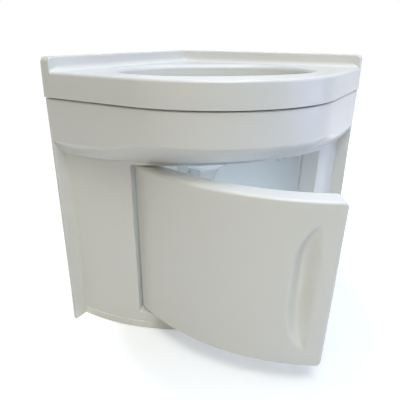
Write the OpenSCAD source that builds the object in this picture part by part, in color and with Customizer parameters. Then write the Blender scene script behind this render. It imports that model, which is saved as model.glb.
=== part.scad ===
// Corner vanity unit: a moulded basin top on a cabinet that stands in a room corner,
// with a bow-fronted door. The back corner of the room is the origin, the floor is z = 0,
// and the front faces -Y. All sizes are millimetres and degrees.

/* [Overall] */
// Length of the unit along each wall
wall_len = 400; // [385:1:430]
// Height from the floor to the top of the upstands
total_h = 494; // [480:1:540]
// Radius of the rounded front corner of the basin top
front_r = 227; // [210:1:240]
// Angle by which the top's outer faces lean in towards the deck
top_draft = 1.5; // [0:0.5:3]

/* [Basin top] */
// Wall thickness of the basin top
top_t = 4; // [3:0.5:5]
// Height of the upstands above the deck
upstand_h = 22.5; // [18:0.5:40]
// Thickness of the hollow upstands
upstand_t = 17; // [14:0.5:22]
// Radius of the rounded top corner at each upstand end
upstand_end_r = 8; // [6:1:12]
// Radius of the cove between deck and upstands
cove_r = 9; // [5:1:12]
// Depth of the skirt below the deck
skirt_h = 38.5; // [36:0.5:46]
// Radius of the rolled front edge of the deck
deck_edge_r = 5; // [4.5:0.5:6]
// Number of fixing bosses along each straight part of the front
side_bosses = 2; // [1:1:3]
// Radius of a fixing boss
boss_r = 6; // [5:0.5:7]
// Distance of the bosses behind the cabinet's face
boss_in = 12; // [11:0.5:14]

/* [Bowl] */
// Length of the bowl's mouth across the front
bowl_len = 330; // [290:1:340]
// Width of the bowl's mouth from front to back
bowl_w = 245; // [220:1:250]
// Distance of the mouth's centre from the back corner
bowl_y = 285; // [280:1:290]
// Depth of the bowl below the deck
bowl_depth = 186; // [150:1:195]
// Distance of the waste from the back corner
waste_y = 218; // [210:1:230]
// Radius of the bowl's rolled rim
rim_r = 8; // [6:1:10]
// Radius of the flat recess round the waste
recess_r = 35; // [34:1:38]
// Depth of the recess round the waste
recess_d = 5; // [4:0.5:7]
// How square the oval is: 2 is an ellipse
bowl_power = 2.3; // [2:0.1:3]
// How full the bowl's front wall is: a larger value is a steeper wall
front_power = 2.3; // [1.8:0.1:2.5]
// How full the bowl's back wall is: a larger value is a steeper wall
back_power = 4; // [3:0.5:6]

/* [Waste] */
// Radius of the waste's threaded body
waste_r = 20.9; // [18:0.1:21]
// Radius of the waste's bore
waste_bore_r = 16; // [14:0.5:16.5]
// Radius of the waste's flange
waste_flange_r = 31.5; // [29:0.5:32]
// Thickness of the waste's flange
waste_flange_t = 3; // [2:0.5:4]
// Length of the waste's body below the bowl
waste_len = 62; // [50:1:80]
// Thickness of the two rubber seals
seal_t = 2; // [1:0.5:3]
// Height of the back nut
nut_h = 12; // [8:1:16]
// Radius of the back nut across its corners
nut_r = 30; // [27:0.5:32]

/* [Cabinet] */
// Distance by which the cabinet stands inside the skirt
body_inset = 2; // [1:0.5:4]
// Height of the shadow gap under the skirt
shadow_gap = 2; // [1:0.5:3]
// Thickness of the side panels
side_t = 6; // [5:0.5:9]
// How far the cupboard front's foot stays back from the walls' ends
lower_inset = 30; // [26:1:34]
// Angle by which the lower front leans out towards its top
front_draft = 1.1; // [0.5:0.1:1.5]
// Thickness of the front mouldings
front_t = 4; // [3:0.5:5]
// How far the crease over the cupboard front lies below the apron's top
crease_drop = 97; // [91:1:106]
// Height of the base strip
base_h = 14; // [10:1:20]
// Distance by which the base strip stands proud
base_proud = 2; // [1:0.5:3]
// Width of the square corner post
post_w = 28; // [20:1:34]
// Width and height of the floor battens
batten_w = 20; // [15:1:24]
// Thickness of the cupboard floor
floor_t = 4; // [3:0.5:6]
// Clearance round the cupboard floor and behind the post
fit_gap = 0.5; // [0.3:0.1:1]

/* [Apron] */
// Width of the apron's flange under the basin top
apron_flange = 26; // [25:1:32]
// Radius of the apron's upper edge
shoulder_r = 4; // [2:0.5:5]
// How far the belly's foot lies below the apron's top, in its middle
belly_drop = 51; // [31:1:61]
// How far the belly's foot lies below the apron's top, at its ends
end_drop = 67; // [51:1:76]
// Width of the flat ends, measured from the walls
end_w = 146; // [130:1:150]
// Width over which a flat end turns into the belly
crease_w = 40; // [20:1:46]
// How full the belly's curve is: 1 is a straight slope and 2 is an ellipse
belly_power = 1.25; // [1.1:0.05:2.2]

/* [Door opening] */
// Angle of the hinge-side jamb, measured from the left wall
jamb_l = 20.2; // [18:0.1:22]
// Angle of the free-side jamb, measured from the left wall
jamb_r = 75.7; // [74:0.1:78]
// Height of the sill
sill_z = 35; // [34:1:44]
// Height of the rail between the opening and the crease
head_h = 5; // [4:0.5:8]
// Depth of the reveal round the opening
reveal_d = 37.5; // [37.5:0.5:40]
// Thickness of the reveal and of the stop lip
reveal_t = 3; // [2.5:0.5:4]
// Height of the stop lip inside the opening
lip_h = 5; // [4:0.5:8]
// Radius of the stop lip's corners
lip_r = 14; // [8:1:20]
// Width of the inner flanges that meet the side panels
return_w = 20; // [18:1:26]

/* [Door] */
// Thickness of the door at its free side
door_t = 33; // [30:0.5:33]
// Thickness of the door at its hinge side
door_hinge_t = 27; // [26:0.5:28]
// Length over which the door gets thinner towards its hinge
taper_len = 60; // [50:1:90]
// Wall thickness of the door's mouldings
door_skin_t = 3; // [2:0.5:3.5]
// Gap round the door at its free side, top and bottom
door_gap = 3; // [2.5:0.5:4]
// Gap between the door and the hinge-side jamb
hinge_gap = 4; // [4:0.5:5]
// Radius of the door's rolled front edges
door_edge_r = 5; // [4:0.5:6]
// Radius of the door's corners at its free side
door_corner_r = 9; // [7:1:14]
// Angle by which the door stands open
door_open = 43; // [0:1:90]

/* [Hinge and catch] */
// Distance of the hinge axis behind the door's face
hinge_setback = 11; // [10.5:0.5:11]
// Distance of the hinge axis from the door's edge
hinge_edge = 18; // [17:0.5:20]
// Radius of the hinge pins
pin_r = 3; // [2.5:0.25:3.5]
// Radial clearance of the pins in their bushes
pin_clear = 0.05; // [0.02:0.01:0.09]
// Wall thickness of the hinge bushes
bush_wall = 2; // [1.5:0.25:2]
// Length of a hinge bush below its flange
bush_len = 11; // [8:1:12]
// Height of the blocks that hold the hinge pins
block_h = 24; // [18:1:30]
// Angle of the catch, measured from the left wall
catch_angle = 67; // [64:0.5:68]
// Gap between the catch's magnet and its strike plate
catch_gap = 1; // [0.8:0.1:1.5]
// Thickness of the strike plate
strike_t = 1.2; // [1:0.1:1.5]

/* [Finger grip] */
// How far the scoop's ends stay from the door's lower and upper edges
grip_ends = 34; // [30:1:50]
// Distance of the grip's tips from the door's free edge
grip_tip = 32; // [28:1:38]
// How far the grip bulges from its tips towards the hinge
grip_in = 34; // [26:1:38]
// How far the grip bulges from its tips towards the free edge
grip_out = 7; // [5:1:10]
// Depth of the finger grip
grip_depth = 17; // [12:1:19]

/* [Fixings] */
// Shank radius of the fixing screws
screw_r = 2; // [1.5:0.25:2.25]
// Length of the fixing screws
screw_len = 16; // [12:1:18]
// Clearance of a screw in the piece under its head
screw_clear = 0.3; // [0.1:0.1:0.5]
// Radius of the wall-fixing holes
wall_hole_r = 2.5; // [2:0.25:3.5]
// Distance between the two wall-fixing holes of a side panel
wall_hole_span = 240; // [160:1:260]
// How far the wall-fixing holes lie below the apron's top
wall_hole_drop = 31; // [16:1:51]

/* [Hidden] */
$fn = 64;

abs_white = [0.93, 0.94, 0.94];
timber = [0.78, 0.64, 0.45];
steel = [0.72, 0.73, 0.75];
dark_steel = [0.3, 0.3, 0.32];
nylon = [0.88, 0.87, 0.82];
rubber = [0.12, 0.12, 0.13];

round_fn = 180;   // smoothness of the large rounds
cut = 1;          // how far a cutter runs past the face it cuts
overrun = 0.03;   // how far a fillet's arc starts and ends past the faces that it joins
deck_z = total_h - upstand_h;
skirt_z = deck_z - skirt_h;
flange_z = skirt_z - shadow_gap;
crease_z = flange_z - crease_drop;
belly_z = flange_z - belly_drop;
end_z = flange_z - end_drop;
wall_hole_z = flange_z - wall_hole_drop;
lower_r = wall_len - lower_inset;
body_len = wall_len - body_inset;
body_r = front_r - body_inset;
bowl_foot_z = deck_z - bowl_depth;
head_z = crease_z - head_h;

function lower_radius(z) = lower_r + tan(front_draft) * z;
function arc_deg(mm) = mm / lower_r * 180 / PI;
function mix(a, b, f) = a + (b - a) * f;
function smooth(f) = let (c = max(0, min(1, f))) c * c * (3 - 2 * c);
function arc_pts(c, r, a0, a1, n) =
    [for (i = [0:n]) let (a = a0 + (a1 - a0) * i / n) [c[0] + r * cos(a), c[1] + r * sin(a)]];
function signed_pow(x, p) = sign(x) * pow(abs(x), p);

door_a0 = jamb_l + arc_deg(hinge_gap);
door_a1 = jamb_r - arc_deg(door_gap);
door_z0 = sill_z + door_gap;
door_z1 = head_z - door_gap;
grip_low_z = door_z0 + grip_ends;
grip_high_z = door_z1 - grip_ends;
hinge_angle = door_a0 + arc_deg(hinge_edge);

// ---- frames and sweeps ------------------------------------------------------------------

// Carries a shape drawn against the walls (x along the left wall, y along the right wall)
// into the part's own frame.
module from_walls() rotate([0, 0, -135]) children();

// Swaps the two walls, for pieces that mirror each other.
module other_side() mirror([1, -1, 0]) children();

// Draws a shape on the left side and its mirror image on the right side.
module both_sides() {
    children();
    other_side() children();
}

// Frame on the lower front: x points out of the face and z runs up along its lean.
module on_front(angle) rotate([0, 0, angle]) translate([lower_r, 0, 0])
    rotate([0, front_draft, 0]) children();

// Frame on the door's hinge axis.
module on_hinge() on_front(hinge_angle) translate([-hinge_setback, 0, 0]) children();

// Turns what is drawn for the closed door to the angle at which the door stands open.
module swung() from_walls() on_hinge() rotate([0, 0, -door_open])
    translate([hinge_setback, 0, 0]) rotate([0, -front_draft, 0])
    translate([-lower_r, 0, 0]) rotate([0, 0, -hinge_angle]) children();

// Section of the leaning front between two depths behind its face and two heights.
module front_section(d0, d1, z0, z1) polygon([
    [lower_radius(z0) - d1, z0], [lower_radius(z0) - d0, z0],
    [lower_radius(z1) - d0, z1], [lower_radius(z1) - d1, z1],
]);

// Part of the leaning front between two depths, two heights and two angles.
module front_shell(d0, d1, z0, z1, a0, a1) rotate([0, 0, a0])
    rotate_extrude(angle = a1 - a0, $fn = round_fn) front_section(d0, d1, z0, z1);

// What a fillet of radius r fills in, or cuts from, the corner at the origin.
module corner_piece(r) polygon(concat(
    [[-cut, -cut], [r, -cut]], arc_pts([r, r], r + overrun, 270, 180, 8), [[-cut, r]]
));

// Closes a stack of rings of equal length, first ring on top, into a solid.
module ring_stack(rings) {
    n = len(rings[0]);
    m = len(rings);
    polyhedron(
        points = [for (r = rings) each r],
        faces = concat(
            [[for (i = [0:n - 1]) n - 1 - i]],
            [for (j = [0:m - 2], i = [0:n - 1]) let (k = (i + 1) % n, a = j * n, b = a + n)
                each [[a + i, a + k, b + k], [a + i, b + k, b + i]]],
            [[for (i = [0:n - 1]) (m - 1) * n + i]]
        )
    );
}

// ---- screws -----------------------------------------------------------------------------

// Pan-head screw along +Z with the underside of its head at z = 0.
module screw(length = screw_len, r = screw_r) {
    translate([0, 0, -1.1 * r]) difference() {
        cylinder(r = 2 * r, h = 1.1 * r);
        translate([-r, -0.2 * r, -cut]) cube([2 * r, 0.4 * r, cut + 0.5 * r]);
    }
    cylinder(r = r, h = length - r);
    translate([0, 0, length - r]) cylinder(r1 = r, r2 = 0.2 * r, h = r);
}

// Hole for a screw: clear of the shank over the first part, and as the shank beyond.
module screw_hole(clear_len, length = screw_len, r = screw_r) {
    translate([0, 0, -cut]) cylinder(r = r + screw_clear, h = clear_len + cut);
    cylinder(r = r, h = length);
}

// ---- basin top --------------------------------------------------------------------------

function top_lean(z) = tan(top_draft) * (z - skirt_z);

// A square that fills the corner of the walls, with its front corner rounded.
module corner_plan(length, r) {
    square([length, length - r]);
    square([length - r, length]);
    intersection() {
        square(length);
        translate([length - r, length - r]) circle(r, $fn = round_fn);
    }
}

// Sweeps a section, drawn with x from the centre of the rounded corner, along the front.
module sweep_front(length, r) translate([length - r, length - r, 0]) {
    rotate_extrude(angle = 90, $fn = round_fn) children();
    rotate([90, 0, 0]) linear_extrude(length - r) children();
    mirror([1, -1, 0]) rotate([90, 0, 0]) linear_extrude(length - r) children();
}

// Section of the skirt and the deck's rolled edge.
module skirt_section() {
    centre = [front_r - top_lean(deck_z) - deck_edge_r, deck_z - deck_edge_r];
    overlap = 20;
    polygon(concat(
        [[front_r - top_t, skirt_z], [front_r, skirt_z]],
        arc_pts(centre, deck_edge_r, 0, 90, 6),
        [[centre[0] - overlap, deck_z], [centre[0] - overlap, deck_z - top_t]],
        arc_pts(centre, deck_edge_r - top_t, 90, 0, 3)
    ));
}

// Side view of an upstand, inset by i; its front end leans and has a rounded top corner.
module upstand_side(i, z0) {
    r = upstand_end_r - i;
    end_x = wall_len - i - top_lean(total_h);
    polygon(concat(
        [[0, z0], [end_x, z0]],
        arc_pts([end_x - r, total_h - i - r], r, 0, 90, 8),
        [[0, total_h - i]]
    ));
}

module upstand_slab(y0, y1, i, z0) translate([0, y1, 0]) rotate([90, 0, 0])
    linear_extrude(y1 - y0) upstand_side(i, z0);

// The upstand on the left wall, solid.
module upstand() {
    upstand_slab(0, upstand_t, 0, deck_z - top_t);
    upstand_slab(0, top_t, 0, skirt_z);
    translate([0, upstand_t, deck_z]) rotate([90, 0, 90])
        linear_extrude(wall_len - top_lean(deck_z) - deck_edge_r) corner_piece(cove_r);
}

// The hollow in the left upstand, open below.
module upstand_hollow() difference() {
    upstand_slab(top_t, upstand_t - top_t, top_t, deck_z - top_t - cut);
    cube([top_t, upstand_t, total_h]);
}

// Level oval with half length a and half width b, its centre at y = cy.
function oval(a, b, cy, z) = [for (i = [0:bowl_seg - 1]) let (t = 360 * i / bowl_seg)
    [a * signed_pow(cos(t), 2 / bowl_power), cy + b * signed_pow(sin(t), 2 / bowl_power), z]];
bowl_seg = 56;
bowl_rows = 12;
rim_rows = 4;

// Half length of the bowl, and its front and back edges, at a fraction f of its depth.
bowl_toe = recess_r + 1;
function bowl_half(f) = let (m = bowl_len / 2) m * sqrt(1 - (1 - pow(bowl_toe / m, 2)) * f * f);
function bowl_front(f) = mix(bowl_y + bowl_w / 2, waste_y + bowl_toe, pow(f, front_power));
function bowl_back(f) = mix(bowl_y - bowl_w / 2, waste_y - bowl_toe, pow(f, back_power));

// Rings of the bowl's surface, grown outwards by g, from the deck down to the waste.
function bowl_rings(g, top_z) = let (a = bowl_len / 2, b = bowl_w / 2, r = rim_r - g) concat(
    [oval(a + rim_r, b + rim_r, -bowl_y, top_z)],
    [for (i = [0:rim_rows]) let (t = 90 * i / rim_rows, s = g + r * (1 - sin(t)))
        oval(a + s, b + s, -bowl_y, deck_z - rim_r + r * cos(t))],
    [for (i = [1:bowl_rows]) let (f = sin(90 * i / bowl_rows))
        oval(bowl_half(f) + g, (bowl_front(f) - bowl_back(f)) / 2 + g,
             -(bowl_front(f) + bowl_back(f)) / 2,
             mix(deck_z - rim_r, bowl_foot_z + recess_d, f) - g * f)],
    [oval(recess_r + g, recess_r + g, -waste_y, bowl_foot_z - g)]
);

// Points of the fixing bosses, against the walls.
straight = body_len - body_r;
diagonal = straight + (body_r - boss_in) * cos(45);
boss_pts = concat(
    [[diagonal, diagonal]],
    [for (i = [1:side_bosses]) let (y = straight * i / (side_bosses + 0.5)) each
        [[body_len - boss_in, y], [y, body_len - boss_in]]]
);

module at_bosses(z) for (p = boss_pts) from_walls() translate([p[0], p[1], z]) children();

module basin_top() color(abs_white) difference() {
    union() {
        difference() {
            from_walls() {
                sweep_front(wall_len, front_r) skirt_section();
                translate([0, 0, deck_z - top_t]) linear_extrude(top_t)
                    corner_plan(wall_len - 15, front_r - 15);
                both_sides() upstand();
            }
            from_walls() both_sides() upstand_hollow();
            translate([0, 0, deck_z - top_t - cut]) linear_extrude(top_t + 2 * cut)
                polygon([for (p = oval(bowl_len / 2 + rim_r - cut, bowl_w / 2 + rim_r - cut,
                                       -bowl_y, 0)) [p[0], p[1]]]);
        }
        difference() {
            ring_stack(bowl_rings(top_t, deck_z));
            ring_stack(bowl_rings(0, deck_z + cut));
        }
        at_bosses(flange_z) cylinder(r = boss_r, h = deck_z - top_t / 2 - flange_z);
    }
    at_bosses(flange_z - front_t) screw_hole(front_t, screw_len + cut);
    translate([0, -waste_y, bowl_foot_z - top_t - cut])
        cylinder(r = waste_r + fit_gap, h = top_t + 2 * cut);
}

// ---- waste ------------------------------------------------------------------------------

waste_top_z = bowl_foot_z + seal_t + waste_flange_t;
waste_end_z = bowl_foot_z - top_t - waste_len;
groove_z = bowl_foot_z - top_t - seal_t - nut_h - 1;    // top of the groove under the nut

module at_waste(z) translate([0, -waste_y, z]) children();

module ring(r_in, r_out, h) rotate_extrude() translate([r_in, 0]) square([r_out - r_in, h]);

module waste_body() color(steel) at_waste(0) rotate_extrude() polygon([
    [waste_bore_r, waste_end_z], [waste_r - 1, waste_end_z], [waste_r, waste_end_z + 1],
    [waste_r, groove_z - 2], [waste_r - 1, groove_z - 2], [waste_r - 1, groove_z],
    [waste_r, groove_z], [waste_r, bowl_foot_z + seal_t], [waste_flange_r, bowl_foot_z + seal_t],
    [waste_flange_r, waste_top_z - 2], [waste_flange_r - 2, waste_top_z],
    [waste_bore_r + 4, waste_top_z], [waste_bore_r, waste_top_z - 4],
]);

module waste_upper_seal() color(rubber)
    at_waste(bowl_foot_z) ring(waste_r + fit_gap, waste_flange_r - 1, seal_t);

module waste_lower_seal() color(rubber)
    at_waste(bowl_foot_z - top_t - seal_t) ring(waste_r + fit_gap, nut_r - 2, seal_t);

module waste_backnut() color(nylon)
    at_waste(bowl_foot_z - top_t - seal_t - nut_h) difference() {
        cylinder(r = nut_r, h = nut_h, $fn = 6);
        translate([0, 0, -cut]) cylinder(r = waste_r, h = nut_h + 2 * cut);
    }

// ---- apron ------------------------------------------------------------------------------

// Stations along the front, from 0 at the left panel to 3 at the right panel: the first
// and last thirds are the straight parts, and the middle one is the rounded corner.
end_steps = [0, 0.5, 0.82];
crease_steps = 6;
round_steps = 20;
half_stations = concat(
    [for (f = end_steps) mix(side_t, end_w - crease_w / 2, f) / straight],
    [for (i = [0:crease_steps]) (end_w + crease_w * (i / crease_steps - 0.5)) / straight]
);
stations = concat(
    [for (s = half_stations) if (s < 0.995) s],
    [for (i = [0:round_steps]) 1 + i / round_steps],
    [for (i = [len(half_stations) - 1:-1:0]) if (half_stations[i] < 0.995) 3 - half_stations[i]]
);

// Point of the cabinet's outline at station s, moved in by d.
function outline(s, d) = s <= 1 ? [body_len - d, s * straight]
    : s >= 2 ? [(3 - s) * straight, body_len - d]
    : let (a = 90 * (s - 1))
        [straight + (body_r - d) * cos(a), straight + (body_r - d) * sin(a)];

// Point of the lower front's top edge that faces station s, moved in by d.
crease_r = lower_radius(crease_z);
round_a = asin(straight / crease_r);
function crease_pt(s, d) = s <= 1 ? [sqrt(pow(crease_r - d, 2) - pow(s * straight, 2)), s * straight]
    : s >= 2 ? [(3 - s) * straight, sqrt(pow(crease_r - d, 2) - pow((3 - s) * straight, 2))]
    : let (a = mix(round_a, 90 - round_a, s - 1)) (crease_r - d) * [cos(a), sin(a)];

// Height at which the apron starts to curve in at station s.
function curve_z(s) = let (w = min(s, 3 - s) * straight)
    mix(end_z, belly_z, smooth((w - end_w) / crease_w + 0.5));

belly_rows = 12;
// The apron's curved face at station s, moved in by d, from the flat part down.
function belly(s, d, low_z) = let (z0 = curve_z(s), p = outline(s, d), q = crease_pt(s, d))
    [for (i = [0:belly_rows]) let (a = 90 * i / belly_rows, g = pow(cos(a), 2 / belly_power),
        h = pow(sin(a), 2 / belly_power), m = mix(q, p, g)) [m[0], m[1], mix(z0, low_z, h)]];

function at_height(p, z) = [p[0], p[1], z];
function reverse(v) = [for (i = [len(v) - 1:-1:0]) v[i]];

// Closed section of the apron at station s, from its flange over the face and back inside.
function apron_ring(s) = concat(
    [at_height(outline(s, apron_flange), flange_z)],
    [for (i = [0:4]) let (a = 90 * i / 4)
        at_height(outline(s, shoulder_r * (1 - sin(a))), flange_z - shoulder_r * (1 - cos(a)))],
    belly(s, 0, crease_z),
    [at_height(crease_pt(s, front_t), crease_z)],
    reverse(belly(s, front_t, crease_z + front_t)),
    [at_height(outline(s, front_t), flange_z - front_t),
     at_height(outline(s, apron_flange), flange_z - front_t)]
);

module apron() color(abs_white) difference() {
    from_walls() ring_stack([for (s = reverse(stations)) apron_ring(s)]);
    at_bosses(flange_z - front_t) screw_hole(front_t + cut);
}

module top_screws() color(steel) at_bosses(flange_z - front_t) screw();

// ---- side panels, post and floor ----------------------------------------------------------

front_screw_zs = [for (f = [0.18, 0.54, 0.9]) f * crease_z];
front_screw_x = lower_r - front_t - return_w / 2;
short_screw_len = reveal_t + side_t - 1;
post_screw_zs = [for (f = [0.162, 0.485, 0.81]) f * skirt_z];
post_screw_len = post_w + side_t - 1.5;
wall_hole_mid = wall_len / 2;

module at_front_screws() for (z = front_screw_zs)
    translate([front_screw_x, side_t + reveal_t, z]) rotate([90, 0, 0]) children();

// Screws through the post into the left panel.
module at_left_post_screws() for (z = post_screw_zs)
    translate([side_t + post_w * 0.65, side_t + post_w, z]) rotate([90, 0, 0]) children();

// Screws through the post into the right panel, set lower so that the rows miss each other.
module at_right_post_screws() other_side() translate([0, 0, -post_w])
    at_left_post_screws() children();

// Panel against the left wall; start is where its back edge lies.
module side_panel(start) difference() {
    rotate([90, 0, 0]) mirror([0, 0, 1]) linear_extrude(side_t) polygon([
        [start, 0], [body_len, 0], [body_len, flange_z], [body_len - 2 * top_t, flange_z],
        [body_len - 2 * top_t, skirt_z], [start, skirt_z],
    ]);
    at_front_screws() screw_hole(0, short_screw_len);
    for (s = [-0.5, 0.5]) translate([wall_hole_mid + s * wall_hole_span, -cut, wall_hole_z])
        rotate([-90, 0, 0]) cylinder(r = wall_hole_r, h = side_t + 2 * cut);
}

module left_side_panel() color(abs_white) from_walls() difference() {
    side_panel(0);
    at_left_post_screws() screw_hole(0, post_screw_len);
}

module right_side_panel() color(abs_white) from_walls() difference() {
    other_side() side_panel(side_t);
    at_right_post_screws() screw_hole(0, post_screw_len);
}

module corner_post() color(timber) from_walls() difference() {
    translate([side_t, side_t, 0]) cube([post_w, post_w, skirt_z - fit_gap]);
    at_left_post_screws() screw_hole(post_w);
    at_right_post_screws() screw_hole(post_w);
}

module post_screws() color(steel) from_walls() {
    at_left_post_screws() screw(post_screw_len);
    at_right_post_screws() screw(post_screw_len);
}

batten_start = side_t + post_w + fit_gap;
batten_end = lower_r - front_t - return_w - 3;
floor_z = batten_w;
floor_screw_xs = [0.3, 0.75];

module at_floor_screws() for (f = floor_screw_xs)
    translate([mix(batten_start, batten_end, f), side_t + batten_w / 2, floor_z + floor_t])
        mirror([0, 0, 1]) children();

module floor_batten() difference() {
    translate([batten_start, side_t, 0]) cube([batten_end - batten_start, batten_w, batten_w]);
    at_floor_screws() screw_hole(floor_t);
}

module left_floor_batten() color(timber) from_walls() floor_batten();

module right_floor_batten() color(timber) from_walls() other_side() floor_batten();

module cupboard_floor() color(abs_white) from_walls() difference() {
    translate([0, 0, floor_z]) linear_extrude(floor_t) difference() {
        intersection() {
            circle(lower_r - front_t - 2 * fit_gap, $fn = round_fn);
            translate([side_t + fit_gap, side_t + fit_gap]) square(wall_len);
        }
        square(side_t + post_w + fit_gap);
        both_sides() translate([batten_end + 2, 0])
            square([return_w * 2, side_t + reveal_t + fit_gap]);
    }
    both_sides() at_floor_screws() screw_hole(floor_t + cut);
}

module floor_screws() color(steel) from_walls() both_sides() at_floor_screws() screw();

// ---- lower front ------------------------------------------------------------------------

socket_r = pin_r + bush_wall + 2;
bush_r = pin_r + bush_wall;
bush_flange_t = 1;
pad_h = 0.5;      // height of the level pad round a bush, above the reveal
catch_w = 44;
catch_body_w = 28;
catch_deep = 18;
catch_h = 18;
catch_ear_t = 3;
catch_screw_r = 1.5;
catch_screw_len = 8;
catch_screw_y = 18;
magnet_w = 16;
magnet_deep = 8;
magnet_h = 9;
strike_w = 30;

// Frame under the head of the opening at the catch: x = 0 is the door's face.
module at_catch() rotate([0, 0, catch_angle])
    translate([lower_radius(head_z), 0, head_z]) children();

module at_catch_screws(z) for (s = [-1, 1])
    at_catch() translate([-door_t - catch_deep / 2 - strike_t - catch_gap - 1, s * catch_screw_y, z])
        children();

// The opening inside the stop lip.
lip_a0 = jamb_l + arc_deg(lip_h);
lip_a1 = jamb_r - arc_deg(lip_h);
lip_z0 = sill_z + lip_h;
lip_z1 = head_z - lip_h;
module lip_opening() front_shell(reveal_d - 2 * reveal_t, reveal_d + 2 * reveal_t,
    lip_z0, lip_z1, lip_a0, lip_a1);

// Webs that round off the corners of the lip's opening; each is thinner than the lip.
module lip_webs() for (c = [[lip_a0, 0, lip_z0, 0], [lip_a1, 1, lip_z0, 0],
                            [lip_a0, 0, lip_z1, 1], [lip_a1, 1, lip_z1, 1]])
    rotate([0, 0, c[0]]) translate([lower_radius(c[2]) - reveal_d + 0.2 * reveal_t, 0, c[2]])
        mirror([0, c[1], 0]) mirror([0, 0, c[3]]) rotate([90, 0, 90])
        linear_extrude(0.6 * reveal_t) corner_piece(lip_r);

// Block that the reveal and its stop lip are cut from, down to the depth of the lip's back.
module reveal_block() front_shell(front_t / 2, reveal_d, sill_z - reveal_t, head_z + reveal_t,
    jamb_l - arc_deg(reveal_t), jamb_r + arc_deg(reveal_t));

// The space in front of the stop lip, where the closed door sits.
module doorway() front_shell(-door_t, reveal_d - reveal_t, sill_z, head_z, jamb_l, jamb_r);

// Socket for a hinge bush; it reaches h past the reveal plate at height z.
module bush_socket(z, up) on_hinge() translate([0, 0, z]) mirror([0, 0, up ? 0 : 1])
    translate([0, 0, -pad_h]) cylinder(r = socket_r, h = pad_h + bush_len);

module bush_bore(z, up) on_hinge() translate([0, 0, z]) mirror([0, 0, up ? 0 : 1])
    translate([0, 0, -pad_h - cut]) cylinder(r = bush_r, h = pad_h + bush_len + 2 * cut);

module lower_front() color(abs_white) from_walls() difference() {
    union() {
        difference() {
            union() {
                front_shell(0, front_t, 0, crease_z, 0, 90);
                front_shell(-base_proud, front_t / 2, 0, base_h, 0, 90);
                reveal_block();
            }
            doorway();
            lip_opening();
            at_catch() translate([-reveal_d - reveal_t, -catch_w / 2 - 2, -lip_h - lip_r])
                cube([3 * reveal_t, catch_w + 4, lip_h + lip_r]);
        }
        front_shell(reveal_d - reveal_t, reveal_d + catch_deep + 6, head_z, head_z + reveal_t,
            catch_angle - arc_deg(catch_w / 2 + 2), catch_angle + arc_deg(catch_w / 2 + 2));
        lip_webs();
        bush_socket(head_z, true);
        bush_socket(sill_z, false);
        both_sides() intersection() {
            translate([0, side_t, 0]) cube([wall_len, reveal_t, crease_z]);
            front_shell(front_t / 2, front_t + return_w, 0, crease_z, 0, 20);
        }
    }
    translate([-cut, -cut, -cut]) cube([wall_len, side_t + cut, wall_len]);
    translate([-cut, -cut, -cut]) cube([side_t + cut, wall_len, wall_len]);
    bush_bore(head_z, true);
    bush_bore(sill_z, false);
    both_sides() at_front_screws() screw_hole(reveal_t + cut);
    at_catch_screws(0) cylinder(r = catch_screw_r, h = catch_screw_len);
}

module front_screws() color(steel) from_walls() both_sides() at_front_screws()
    screw(short_screw_len);

// ---- hinge bushes and catch ---------------------------------------------------------------

module hinge_bush(z, up) on_hinge() translate([0, 0, z]) mirror([0, 0, up ? 0 : 1])
    translate([0, 0, -pad_h]) difference() {
        union() {
            cylinder(r = bush_r, h = pad_h + bush_len);
            translate([0, 0, -bush_flange_t]) cylinder(r = socket_r, h = bush_flange_t);
        }
        translate([0, 0, -bush_flange_t - cut])
            cylinder(r = pin_r + pin_clear, h = bush_len + pad_h + bush_flange_t + 2 * cut);
    }

module upper_hinge_bush() color(nylon) from_walls() hinge_bush(head_z, true);

module lower_hinge_bush() color(nylon) from_walls() hinge_bush(sill_z, false);

magnet_x = -door_t - strike_t - catch_gap;
module magnet_block() at_catch() translate([magnet_x - magnet_deep, -magnet_w / 2, -magnet_h - 5])
    cube([magnet_deep, magnet_w, magnet_h]);

module catch_case() color(nylon) from_walls() difference() {
    at_catch() translate([magnet_x - 1 - catch_deep, 0, 0]) {
        translate([0, -catch_body_w / 2, -catch_h]) cube([catch_deep, catch_body_w, catch_h]);
        translate([0, -catch_w / 2, -catch_ear_t]) cube([catch_deep, catch_w, catch_ear_t]);
    }
    magnet_block();
    at_catch_screws(-catch_ear_t) screw_hole(catch_ear_t + cut, 1, catch_screw_r);
}

module catch_magnet() color(dark_steel) from_walls() magnet_block();

module catch_screws() color(steel) from_walls()
    at_catch_screws(-catch_ear_t) screw(catch_screw_len, catch_screw_r);

// ---- door, drawn closed -------------------------------------------------------------------

// How far the door's thinner hinge side is cut back at a distance y past the hinge axis.
taper_rise = door_t - door_hinge_t + pow(taper_len, 2) / lower_r / 2;
function taper_x(y) = hinge_setback - door_hinge_t - (y + hinge_edge) * taper_rise / taper_len;

// Rounds the door's upright front edges; it lies on the edge and points into the door.
module upright_edge(angle, flip) on_front(angle) mirror([1, 0, 0]) mirror([0, flip, 0])
    linear_extrude(wall_len) corner_piece(door_edge_r);

// The door's outer form, inset by i on all faces but the back, which lies at a depth.
module door_form(i, depth) {
    a0 = door_a0 + arc_deg(i);
    a1 = door_a1 - arc_deg(i);
    z0 = door_z0 + i;
    z1 = door_z1 - i;
    r = door_edge_r - i;
    difference() {
        rotate([0, 0, a0]) rotate_extrude(angle = a1 - a0, $fn = round_fn) polygon(concat(
            [[lower_radius(z0) - depth, z0]],
            arc_pts([lower_radius(z0) - i - r, z0 + r], r, -90, 0, 5),
            arc_pts([lower_radius(z1) - i - r, z1 - r], r, 0, 90, 5),
            [[lower_radius(z1) - depth, z1]]
        ));
        on_hinge() linear_extrude(wall_len) polygon([
            [taper_x(-2 * hinge_edge) + i, -2 * hinge_edge], [taper_x(taper_len) + i, taper_len],
            [-2 * door_t, taper_len], [-2 * door_t, -2 * hinge_edge],
        ]);
    }
}

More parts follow.
